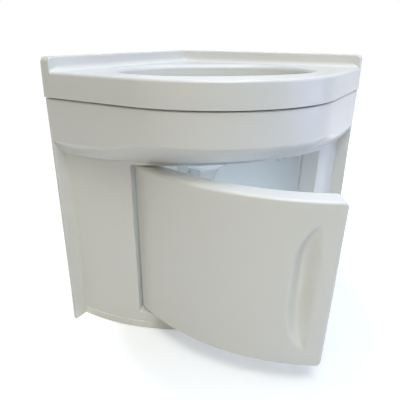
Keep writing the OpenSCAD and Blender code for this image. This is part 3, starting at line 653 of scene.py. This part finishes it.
def upstand_section(t, round_r):
    """Section of an upstand at distance t from its end: pairs of wall distance and height."""
    top, deck = TOTAL_H - end_round(UPSTAND_END_R, t), DECK_Z - end_round(DECK_EDGE_R, t)
    inner = UPSTAND_T - end_round(UPSTAND_SIDE_R, t)
    cove = mix(END_COVE_R, COVE_R, float(smooth(t / COVE_FADE)))
    back_r, low, sunk = 0.6 * round_r, DECK_Z - DECK_EDGE_R - 0.1, 0.05
    turn = bend(BEND_STEPS)
    outer = [(back_r * c, top - back_r * s) for c, s in turn]
    inside = [(inner - round_r * s, top - round_r * c) for c, s in turn]
    foot = [(inner + cove * c, deck + cove * s - sunk) for c, s in turn]
    return [(0, low)] + outer + inside + foot + [(inner + cove, low)]


def upstands(m):
    """The two upstands as one sweep, mitred in the corner, with rounded ends."""
    r = sizes().upstand_round / MM
    ends = [UPSTAND_END_R * c for c, _ in bend(END_STEPS)] + UPSTAND_STATIONS
    left = [[(WALL_LEN - lean(z) - t, w, z) for w, z in upstand_section(t, r)] for t in ends]
    corner = [[(w, w, z) for w, z in upstand_section(WALL_LEN, r)]]
    right = [[(q, p, z) for p, q, z in ring] for ring in left[::-1]]
    m.loft(left + corner + right)


class VANITY_OT_basin_top(bpy.types.Operator):
    """Builds the moulded top: bowl, deck, skirt and upstands"""

    bl_idname = "vanity.basin_top"
    bl_label = "Basin top"

    def execute(self, context):
        shell, walls = Moulding(), Moulding()
        basin_shell(shell)
        upstands(walls)
        top = united(shell.build("basin_moulding"), walls.build("upstands"))
        shade(top)
        fit(top, "cabinet", gloss_white(), "basin_top")
        return {"FINISHED"}


# -- apron --

BELLY_ROWS, FLAT_STEPS, BLEND_STEPS, FRONT_STEPS = 30, 12, 14, 72


def outline(s, d):
    """Point of the cabinet's outline at station s, moved in by d; its arc is from 1 to 2."""
    if s <= 1:
        return np.array([BODY_LEN - d, s * STRAIGHT])
    if s >= 2:
        return np.array([(3 - s) * STRAIGHT, BODY_LEN - d])
    a = math.radians(90 * (s - 1))
    return STRAIGHT + (BODY_R - d) * np.array([math.cos(a), math.sin(a)])


def crease_point(s, d):
    """Point of the lower front's top edge that faces station s, moved in by d."""
    r = lower_radius(CREASE_Z) - d
    if s <= 1:
        return np.array([math.sqrt(r * r - (s * STRAIGHT) ** 2), s * STRAIGHT])
    if s >= 2:
        return crease_point(3 - s, d)[::-1]
    low = math.asin(STRAIGHT / lower_radius(CREASE_Z))
    a = mix(low, math.pi / 2 - low, s - 1)
    return r * np.array([math.cos(a), math.sin(a)])


def belly(s, d, low_z):
    """The apron's curved face at station s, moved in by d, from the flat part down."""
    edge = min(s, 3 - s) * STRAIGHT
    top_z = mix(END_Z, BELLY_Z, float(smooth((edge - END_W) / BLEND_W + 0.5)))
    p, q, points = outline(s, d), crease_point(s, d), []
    for a in quarter(BELLY_ROWS):
        at = mix(q, p, math.cos(a) ** (2 / BELLY_POWER))
        points.append((*at, mix(top_z, low_z, math.sin(a) ** (2 / BELLY_POWER))))
    return points


def apron_ring(s):
    """Closed section of the apron at station s."""
    def at(d, z):
        return (*outline(s, d), z)

    shoulder = [at(SHOULDER_R * s, FLANGE_Z - SHOULDER_R * c) for c, s in bend(BEND_STEPS)]
    face = belly(s, 0, CREASE_Z + CREASE_CUT)
    foot = [(*crease_point(s, CREASE_CUT), CREASE_Z), (*crease_point(s, FRONT_T), CREASE_Z)]
    inner = belly(s, FRONT_T, CREASE_Z + FRONT_T)[::-1]
    return ([at(APRON_FLANGE, FLANGE_Z)] + shoulder + face + foot + inner
            + [at(FRONT_T, FLANGE_Z - FRONT_T), at(APRON_FLANGE, FLANGE_Z - FRONT_T)])


class VANITY_OT_apron(bpy.types.Operator):
    """Builds the apron, whose flat ends turn into a full belly"""

    bl_idname = "vanity.apron"
    bl_label = "Apron"

    def execute(self, context):
        blend0, blend1 = END_W - BLEND_W / 2, END_W + BLEND_W / 2
        widths = [mix(SIDE_T, blend0, i / FLAT_STEPS) for i in range(FLAT_STEPS)]
        widths += [mix(blend0, blend1, i / BLEND_STEPS) for i in range(BLEND_STEPS + 1)]
        half = [w / STRAIGHT for w in widths if w / STRAIGHT < 0.998]
        stations = half + [1 + i / FRONT_STEPS for i in range(FRONT_STEPS + 1)]
        stations += [3 - s for s in half[::-1]]
        m = Moulding()
        m.loft([apron_ring(s) for s in stations])
        fit(m.build("apron_moulding"), "cabinet", gloss_white(), "apron")
        return {"FINISHED"}


# -- lower front --

SIDE_STEPS, CORNER_STEPS, BASE_STEPS = (72, 44, 72, 44), 6, 96
RETURN_STEPS, SOCKET_STEPS, SHELF_STEPS = 24, 32, 12


def frame_loop(a0, a1, z0, z1, radius, depth):
    """Rounded rectangle on the lower front, from its lower left corner, rounded by radius."""
    r, turn = radius, arc_deg(radius)
    corners = [((a0 + turn, z0 + r), 180), ((a1 - turn, z0 + r), 270),
               ((a1 - turn, z1 - r), 0), ((a0 + turn, z1 - r), 90)]

    def on_corner(centre, degrees):
        t = math.radians(degrees)
        return centre[0] + turn * math.cos(t), centre[1] + r * math.sin(t)

    points = []
    for k, (centre, first) in enumerate(corners):
        points += [on_corner(centre, first + 90 * i / CORNER_STEPS)
                   for i in range(CORNER_STEPS + 1)]
        here, there = points[-1], on_corner(*corners[(k + 1) % 4])
        points += line(here, there, SIDE_STEPS[k])[1:]
    points = np.array(points)
    return np.column_stack([points, np.full(len(points), float(depth))])


def side_angle(z, depth):
    """Angle at which the lower front meets a side panel."""
    return np.degrees(np.arcsin(SIDE_T / (lower_radius(z) - depth)))


def outer_loop(depth, low, high):
    """Edge of the lower front, which ends at the inner faces of the side panels."""
    loop = frame_loop(0, 90, low, high, 0, depth)
    reach = side_angle(loop[:, 1], depth)
    loop[:, 0] = reach + loop[:, 0] / 90 * (90 - 2 * reach)
    return loop


def opening_loop(grow, depth, radius):
    """The door opening, grown by grow."""
    return frame_loop(JAMB_L - arc_deg(grow), JAMB_R + arc_deg(grow),
                      SILL_Z - grow, HEAD_Z + grow, radius, depth)


def lip_loop(grow, depth):
    """Inner edge of the stop lip, grown by grow, which makes way for the catch."""
    loop = opening_loop(grow - LIP_H, depth, LIP_R - grow)
    near = np.abs(loop[:, 0] - CATCH_ANGLE) < arc_deg(CATCH_HALF)
    loop[near & (loop[:, 1] > HEAD_Z - LIP_H - 1), 1] = HEAD_Z - 0.4
    return loop


class VANITY_OT_lower_front(bpy.types.Operator):
    """Builds the lower front: leaning face, base strip, and door opening with its stop lip"""

    bl_idname = "vanity.lower_front"
    bl_label = "Lower front"

    def execute(self, context):
        m = Moulding()
        self.face(m)
        self.base_strip(m)
        self.returns(m)
        self.sockets(m)
        fit(m.build("front_moulding"), "cabinet", satin_white(), "lower_front")
        return {"FINISHED"}

    def face(self, m):
        """The face, its opening with the reveal and the stop lip, and the hidden side."""
        hole, lip, r = opening_loop, lip_loop, sizes().opening_round / MM
        face, opening = outer_loop(0, 0, CREASE_Z - CREASE_CUT), hole(r, 0, OPENING_R + r)
        spread = (0.12, 0.25, 0.38, 0.5, 0.62, 0.75, 0.88)
        loops = [face] + [mix(face, opening, f) for f in spread] + [opening]
        loops += [hole(r * s, r * c, OPENING_R + r * s) for c, s in bend(4, 1)]
        # The reveal, and the stop lip with a bend of 0.8 at its foot and a rounding of 0.6
        stop, back_r = REVEAL_D - REVEAL_T, 2 * OPENING_R
        loops += [hole(0, f * stop, OPENING_R) for f in (0.35, 0.7)]
        loops += [hole(0, stop - 0.8, OPENING_R), hole(-0.25, stop - 0.25, OPENING_R),
                  hole(-0.8, stop, OPENING_R)]
        loops += [lip(0.6, stop), lip(0.18, stop + 0.18), lip(0, stop + 0.6), lip(0, REVEAL_D)]
        loops += [hole(REVEAL_T, REVEAL_D, back_r), hole(REVEAL_T, FRONT_T + 1, back_r),
                  hole(REVEAL_T + 1, FRONT_T, back_r + 1)]
        back = outer_loop(FRONT_T, 0, CREASE_Z)
        loops += [mix(loops[-1], back, f) for f in (0.25, 0.5, 0.75)] + [back]
        loops += [outer_loop(CREASE_CUT, 0, CREASE_Z)]
        m.loft([on_cone(*loop.T) for loop in loops], joined=True)

    def base_strip(self, m):
        """The strip that stands proud round the foot."""
        section = [(BASE_IN, 0), (BASE_CUT - BASE_PROUD, 0), (-BASE_PROUD, BASE_CUT)]
        section += [(BASE_R * c - BASE_PROUD, BASE_H - BASE_R * s) for c, s in bend(5)]
        section += [(BASE_IN, BASE_H)]
        edges = [(side_angle(z, depth), z, depth) for depth, z in section]
        m.loft([[on_cone(mix(reach, 90 - reach, i / BASE_STEPS), z, depth)
                 for reach, z, depth in edges] for i in range(BASE_STEPS + 1)])

    def returns(self, m):
        """The inner flanges that meet the side panels."""
        cut, top = RETURN_CUT, SIDE_T + REVEAL_T
        for flip in (False, True):
            rings = []
            for z in np.linspace(0, CREASE_Z - 1, RETURN_STEPS):
                r1 = lower_radius(z) - FRONT_T / 2
                r0 = r1 - FRONT_T / 2 - RETURN_W
                section = [(r0, SIDE_T), (r1, SIDE_T), (r1, top - cut), (r1 - cut, top),
                           (r0 + cut, top), (r0, top - cut)]
                rings.append(level(section, z, flip))
            m.loft(rings)

    def sockets(self, m):
        """Sockets of the two hinge bushes, and the shelf that the catch hangs from."""
        hinge = hinge_frame()
        turn = [2 * math.pi * i / SOCKET_STEPS for i in range(SOCKET_STEPS)]
        circle = [(SOCKET_R * math.cos(a), SOCKET_R * math.sin(a)) for a in turn]
        for z, way in ((HEAD_Z, 1), (SILL_Z, -1)):
            m.loft([[hinge @ Vector((x, y, z + way * step)) for x, y in circle]
                    for step in (REVEAL_T, SOCKET_H)])
        half = arc_deg(CATCH_HALF)
        front, back, top = REVEAL_D - REVEAL_T, REVEAL_D + SHELF_D, HEAD_Z + REVEAL_T - 0.2
        section = ((front, HEAD_Z), (front, top), (back, top), (back, HEAD_Z))
        m.loft([[on_cone(angle, z, d) for d, z in section]
                for angle in np.linspace(CATCH_ANGLE - half, CATCH_ANGLE + half, SHELF_STEPS)])


# -- side panels --

class VANITY_OT_side_panels(bpy.types.Operator):
    """Builds the two side panels, whose front edges show as narrow strips"""

    bl_idname = "vanity.side_panels"
    bl_label = "Side panels"

    def execute(self, context):
        for side, start, flip in (("left", 0, False), ("right", SIDE_T, True)):
            m = Moulding()
            self.board(m, start, flip)
            self.top_strip(m, start, flip)
            panel = m.build(side + "_panel_moulding")
            fit(panel, "cabinet", satin_white(), side + "_side_panel")
        return {"FINISHED"}

    def board(self, m, start, flip):
        """The board, rounded at the front up to the crease and sharp behind the apron."""
        rings = []
        for z, r in ((0, PANEL_R), (PANEL_CUT, PANEL_R), (CREASE_Z - 2, PANEL_R),
                     (CREASE_Z + 2, SHARP_R), (FLANGE_Z, SHARP_R)):
            cut, out_r = PANEL_CUT if z == 0 else 0, PANEL_R
            end = BODY_LEN - cut
            section = [(start, 0)]
            section += [(end - out_r + out_r * math.sin(t), cut + out_r - out_r * math.cos(t))
                        for t in quarter(4)]
            section += [(end - r + r * math.cos(t), SIDE_T - r + r * math.sin(t))
                        for t in quarter(4)]
            section += [(start, SIDE_T)]
            rings.append(level(section, z, flip))
        m.loft(rings)

    def top_strip(self, m, start, flip):
        """The set-back strip that closes the gap under the skirt."""
        end, cut = BODY_LEN - TOP_STRIP_IN, TOP_STRIP_CUT
        section = [(start, cut), (end, cut), (end, SIDE_T - cut), (start, SIDE_T - cut)]
        m.loft([level(section, z, flip) for z in (FLANGE_Z - 1, SKIRT_Z)])


# -- door --

EDGE_LINES, EDGE_END, DOOR_SHARP_DEG = (0, 0.1, 0.35, 0.8, 1.4, 2.2, 3.1, 4.1, 5.2), 7, 40


def edge_steps(length, fine, near, far, split):
    """Grid lines: close together at both edges, near apart up to a split, then far apart."""
    start = [x * fine for x in EDGE_LINES]
    last = length - EDGE_END
    middle = np.arange(EDGE_END + near, split, near).tolist()
    middle += np.linspace(split, last, max(2, int((last - split) / far))).tolist()
    return np.array(start + [EDGE_END] + middle + [length - x for x in start[::-1]])


def rounded_grid(es, zs, inset):
    """Grid over the door whose edge follows the door's outline, moved in by inset."""
    w, h = DOOR_W - 2 * inset, DOOR_H - 2 * inset
    u, v = es / DOOR_W, (zs - zs[0]) / (zs[-1] - zs[0])
    free_r = max(DOOR_CORNER_R - inset, LEAST_CORNER_R)
    hinge_r = max(HINGE_CORNER_R - inset, LEAST_CORNER_R)

    def side(x, length, r0, r1):
        """Points of a side, which ends in the middle of its corners, and how far they pull in."""
        k0, k1 = r0 * (1 - HALF), r1 * (1 - HALF)
        low = k0 + x * (r0 - k0) / r0
        high = length - (k1 + (length - x) * (r1 - k1) / r1)
        at = np.where(x < r0, low, np.where(x > length - r1, high, x))
        d0, d1 = np.clip(r0 - at, 0, r0), np.clip(r1 - (length - at), 0, r1)
        return at, (r0 - np.sqrt(r0 * r0 - d0 * d0)) + (r1 - np.sqrt(r1 * r1 - d1 * d1))

    at, pull = side(u * w, w, free_r, hinge_r)
    low, high = np.column_stack([at, pull]), np.column_stack([at, h - pull])
    at, pull = side(v * h, h, free_r, free_r)
    free = np.column_stack([pull, at])
    at, pull = side(v * h, h, hinge_r, hinge_r)
    hinge = np.column_stack([w - pull, at])
    uu, vv = u[:, None, None], v[None, :, None]
    across = (1 - vv) * low[:, None] + vv * high[:, None]
    along = (1 - uu) * free[None] + uu * hinge[None]
    corners = ((1 - uu) * (1 - vv) * low[0] + uu * (1 - vv) * low[-1]
               + (1 - uu) * vv * high[0] + uu * vv * high[-1])
    grid = across + along - corners
    return grid + np.array([inset, DOOR_Z0 + inset])


def grip_dip(e, z):
    """Depth of the finger grip: a crescent, gentle towards the hinge, steeper at its free side."""
    middle, reach = (GRIP_LOW_Z + GRIP_HIGH_Z) / 2, (GRIP_HIGH_Z - GRIP_LOW_Z) / 2
    f = np.clip(np.abs((z - middle) / reach), 0, 1)
    inner = GRIP_TIP + GRIP_IN * (1 - f ** GRIP_IN_POWER) + GRIP_TIP_HALF
    outer = GRIP_TIP - GRIP_OUT * (1 - f ** GRIP_OUT_POWER) - GRIP_TIP_HALF
    deep = GRIP_DEPTH * (1 - f ** GRIP_DEPTH_POWER)
    s, deepest = np.clip((inner - e) / (inner - outer), 0, 1), GRIP_DEEPEST
    fall = np.where(s < deepest, smooth(s / deepest), 1 - smooth((s - deepest) / (1 - deepest)))
    return deep * fall


def roll_dip(grid, r):
    """Depth of the rolled edge at each point of the grid."""
    e, z = grid[..., 0], grid[..., 1] - DOOR_Z0
    d = np.minimum(np.minimum(e, DOOR_W - e), np.minimum(z, DOOR_H - z))
    for end, centre in ((0, DOOR_CORNER_R), (DOOR_H, DOOR_H - DOOR_CORNER_R)):
        inside = (e < DOOR_CORNER_R) & (np.abs(z - end) < DOOR_CORNER_R)
        far = DOOR_CORNER_R - np.hypot(e - DOOR_CORNER_R, z - centre)
        d = np.where(inside, np.minimum(d, far), d)
    d = np.clip(d, 0, r)
    return r - np.sqrt(np.maximum(r * r - (r - d) ** 2, 0))


def back_depth(e):
    """Depth of the door's back edge; the door gets thinner towards its hinge."""
    return DOOR_T - (DOOR_T - DOOR_HINGE_T) * np.clip(1 - (DOOR_W - e) / TAPER_LEN, 0, 1)


def door_points(grid, depth):
    """Points of the closed door at distances from its free edge, heights and depths."""
    angle = DOOR_A1 - arc_deg(1) * grid[..., 0]
    return swung(on_cone(angle, grid[..., 1], depth)).reshape(-1, 3)


class VANITY_OT_door(bpy.types.Operator):
    """Builds the door's outer skin with its rolled edges and finger grip, and its back panel"""

    bl_idname = "vanity.door"
    bl_label = "Door"

    def execute(self, context):
        r = sizes().door_round / MM
        fine = r / 5
        es = edge_steps(DOOR_W, fine, near=2.4, far=8, split=78)
        zs = edge_steps(DOOR_H, fine, near=3.2, far=3.2, split=140) + DOOR_Z0
        self.skin(es, zs, r)
        self.panel(es[::3], zs[::3])
        return {"FINISHED"}

    def skin(self, es, zs, r):
        """The outer skin: face, rolled edges and sides, and the hidden side of the face."""
        face, inner = rounded_grid(es, zs, 0), rounded_grid(es, zs, DOOR_SKIN_T)
        faces, edge = sheets(len(es), len(zs))
        count = len(es) * len(zs)
        front = roll_dip(face, r) + grip_dip(face[..., 0], face[..., 1])
        behind = DOOR_SKIN_T + grip_dip(inner[..., 0], inner[..., 1])
        side, inside = face.reshape(-1, 2)[edge], inner.reshape(-1, 2)[edge]
        side_back, lip = back_depth(side[:, 0]), mix(side, inside, BACK_EDGE_R / DOOR_SKIN_T)
        loops = [(side, r + (side_back - r) * f) for f in (0.3, 0.7)]
        loops += [(side, side_back - BACK_EDGE_R), (lip, back_depth(lip[:, 0])),
                  (inside, back_depth(inside[:, 0]))]
        points = [door_points(face, front), door_points(inner, behind)]
        points += [door_points(at, depth) for at, depth in loops]
        k, first = len(edge), 2 * count
        rows = [list(range(first + i * k, first + (i + 1) * k)) for i in range(len(loops))]
        chains = [edge, *rows, [count + i for i in edge]]
        for a, b in zip(chains, chains[1:]):
            faces += band(a, b)
        self.close(points, faces, "door_moulding", "door_skin", DOOR_SHARP_DEG)

    def panel(self, es, zs):
        """The flat panel that closes the back of the door."""
        grid = rounded_grid(es, zs, DOOR_SKIN_T + PANEL_GAP)
        faces, edge = sheets(len(es), len(zs))
        count = len(es) * len(zs)
        back = back_depth(grid[..., 0])
        points = [door_points(grid, back - DOOR_SKIN_T), door_points(grid, back - PANEL_GAP)]
        faces += band(edge, [count + i for i in edge])
        self.close(points, faces, "door_inner_panel", "door_back", SHARP_DEG)

    def close(self, points, faces, name, node, sharp):
        """Makes the piece that takes a node's place."""
        m = Moulding()
        m.add(np.concatenate(points), faces)
        fit(m.build(name, sharp), "door", satin_white(), node)


# -- parts that keep their CAD shape --

class VANITY_OT_carcass(bpy.types.Operator):
    """Gives the cupboard floor, the corner post and the battens their finish"""

    bl_idname = "vanity.carcass"
    bl_label = "Post, battens and floor"

    def execute(self, context):
        dress(satin_white(), "cupboard_floor")
        dress(painted_wood(), "corner_post", "left_floor_batten", "right_floor_batten")
        return {"FINISHED"}


class VANITY_OT_waste(bpy.types.Operator):
    """Gives the waste, its seals and its nut their finish"""

    bl_idname = "vanity.waste"
    bl_label = "Waste"

    def execute(self, context):
        dress(satin_white(), "waste_body", "waste_backnut")
        dress(rubber(), "waste_upper_seal", "waste_lower_seal")
        return {"FINISHED"}


class VANITY_OT_fixings(bpy.types.Operator):
    """Gives the bushes, blocks and pins of the hinges, the catch and the screws their finish"""

    bl_idname = "vanity.fixings"
    bl_label = "Hinges, catch and screws"

    def execute(self, context):
        dress(nylon(), "upper_hinge_bush", "lower_hinge_bush", "upper_hinge_block",
              "lower_hinge_block", "catch_case")
        dress(zinc(), "top_screws", "front_screws", "post_screws", "floor_screws", "catch_screws",
              "upper_hinge_pin", "lower_hinge_pin", "catch_strike", "strike_rivets")
        dress(ferrite(), "catch_magnet")
        return {"FINISHED"}


# -- stage --

# Name, place, target and size in metres, and colour; VanityStage has each lamp's power
LAMPS = (
    ("key", (-0.1, -1.4, 2.0), (0, -0.3, 0.25), 1.2, (0.96, 1.0, 0.89)),
    ("window", (1.3, -0.5, 1.9), (0, -0.25, 0.4), 0.5, (0.6, 0.8, 1.0)),
    ("side", (1.8, -1.0, 0.7), (0, -0.25, 0.25), 1.4, (0.48, 0.6, 1.0)),
    ("top", (0.1, -0.6, 2.2), (0, -0.25, 0.3), 2.0, (0.76, 0.82, 1.0)),
    ("fill", (-1.5, -1.6, 1.0), (0, -0.3, 0.25), 1.6, (1.0, 0.72, 0.2)),
    ("cupboard", (-0.01, -0.27, 0.08), (0.06, -0.12, 0.3), 0.12, (0.66, 0.81, 1.0)),
)
FLOOR_HALF, FLOOR_Z = 30.0, -0.0005
# Centre, radius and fade of the disc round the object in which the floor's glow is painted darker:
# painted shade
SHADE_PLACE, SHADE_R, SHADE_FADE = (0.06, -0.34, 0), 0.24, 0.18
SENSOR_MM, LENS_MM, LENS_SHIFT = 36.0, 36.24, (0.01175, -0.00035)
CAMERA_PLACE, YAW, PITCH, ROLL = (-0.2003, -0.9768, 0.5225), 13.44, 22.06, 0.27


def add_lamp(name, place, target, size, colour):
    """A soft square lamp that points at a target."""
    data = bpy.data.lights.new(name + "_lamp", "AREA")
    data.shape, data.size, data.color = "SQUARE", size, colour
    data.energy = getattr(stage(), name)
    lamp = linked(data.name, data)
    lamp.location = place
    lamp.rotation_euler = (Vector(target) - Vector(place)).to_track_quat("-Z", "Y").to_euler()
    lamp.visible_camera = False
    return lamp


class VANITY_OT_stage(bpy.types.Operator):
    """Adds the pale floor, the soft lamps, the surroundings and the camera"""

    bl_idname = "vanity.stage"
    bl_label = "Stage"

    def execute(self, context):
        self.floor(stage().floor)
        self.surroundings(stage().sky)
        lamps = [add_lamp(*row) for row in LAMPS]
        lamps[-1].visible_glossy = False
        self.camera(context)
        return {"FINISHED"}

    def floor(self, paint):
        """A matt floor that the camera sees white far off; in a disc round the object its glow is
        painted darker, a painted shade in which the object's real shadow shows.
        """
        mesh = bpy.data.meshes.new("floor")
        corners = [(x * FLOOR_HALF, y * FLOOR_HALF, FLOOR_Z)
                   for x, y in ((-1, -1), (1, -1), (1, 1), (-1, 1))]
        mesh.from_pydata(corners, [], [(0, 1, 2, 3)])
        plane = linked("floor", mesh)
        f = Finish("floor_paint")
        dust = f.blend(f.noise(scale=3) * 0.1, tuple(paint), (0.86, 0.86, 0.86))
        matt = f.node("BsdfDiffuse", {}, {"Color": dust})
        # Painted shade: the glow that the camera sees drops from white far off to dark grey near
        # the object
        away = f.node("VectorMath", {"operation": "DISTANCE"}, {0: f.place, 1: SHADE_PLACE}, 1)
        white = f.blend(away.above(SHADE_R, SHADE_FADE), (0.25, 0.25, 0.25), (1, 1, 1))
        glow_and_painted_shade = f.node("Emission", {}, {"Color": white, "Strength": 1.0})
        none = f.node("Emission", {}, {"Color": (0, 0, 0, 1), "Strength": 0.0})
        lifted = f.node("MixShader", {}, {0: f.seen(), 1: none, 2: glow_and_painted_shade})
        both = f.node("AddShader", {}, {0: matt, 1: lifted})
        f.node("OutputMaterial", {}, {"Surface": both})
        mesh.materials.append(f.material)

    def surroundings(self, sky):
        """A room that the camera sees white, with a chosen strength of light from all round."""
        world = bpy.data.worlds.new("room")
        bpy.context.scene.world = world
        world.use_nodes = True
        w = Shader(world.node_tree)
        strength = w.seen() * (1.0 - sky) + sky
        back = w.node("Background", {}, {"Color": (1, 1, 1, 1), "Strength": strength})
        w.node("OutputWorld", {}, {"Surface": back})

    def camera(self, context):
        """The camera at the photograph's place and angle."""
        data = bpy.data.cameras.new("camera")
        data.sensor_width, data.lens = SENSOR_MM, LENS_MM
        data.shift_x, data.shift_y = LENS_SHIFT
        data.clip_start, data.clip_end = 0.05, 100
        data.dof.use_dof = False
        yaw, pitch, roll = (math.radians(a) for a in (YAW, PITCH, ROLL))
        ahead = Vector((math.sin(yaw) * math.cos(pitch), math.cos(yaw) * math.cos(pitch),
                        -math.sin(pitch)))
        right = Vector((math.cos(yaw), -math.sin(yaw), 0))
        side = right * math.cos(roll) + right.cross(ahead) * math.sin(roll)
        axes = Matrix((side, side.cross(ahead), -ahead)).transposed().to_4x4()
        camera = linked("camera", data)
        camera.matrix_world = Matrix.Translation(CAMERA_PLACE) @ axes
        context.scene.camera = camera
        context.scene.view_settings.view_transform = "Standard"


# -- sidebar --

class VANITY_PT_panel(bpy.types.Panel):
    """Lists the unit's pieces, its sizes and its colours"""

    bl_idname = "VANITY_PT_panel"
    bl_label = "Corner vanity unit"
    bl_space_type = "VIEW_3D"
    bl_region_type = "UI"
    bl_category = "Vanity"

    def draw(self, context):
        for group in (look(), sizes(), stage()):
            box = self.layout.box()
            for name in group.__annotations__:
                box.prop(group, name)
        for operator in OPERATORS:
            self.layout.operator(operator.bl_idname)


GROUPS = {"vanity_look": VanityLook, "vanity_sizes": VanitySizes, "vanity_stage": VanityStage}
OPERATORS = (VANITY_OT_basin_top, VANITY_OT_apron, VANITY_OT_lower_front, VANITY_OT_side_panels,
             VANITY_OT_door, VANITY_OT_carcass, VANITY_OT_waste, VANITY_OT_fixings,
             VANITY_OT_stage)


def register():
    for cls in (*GROUPS.values(), *OPERATORS, VANITY_PT_panel):
        bpy.utils.register_class(cls)
    for name, cls in GROUPS.items():
        setattr(bpy.types.Scene, name, bpy.props.PointerProperty(type=cls))


def unregister():
    for name in GROUPS:
        delattr(bpy.types.Scene, name)
    for cls in (VANITY_PT_panel, *OPERATORS[::-1], *GROUPS.values()):
        bpy.utils.unregister_class(cls)


def main():
    register()
    for operator in OPERATORS:
        getattr(bpy.ops.vanity, operator.bl_idname.split(".")[1])()


if __name__ == "__main__":
    main()
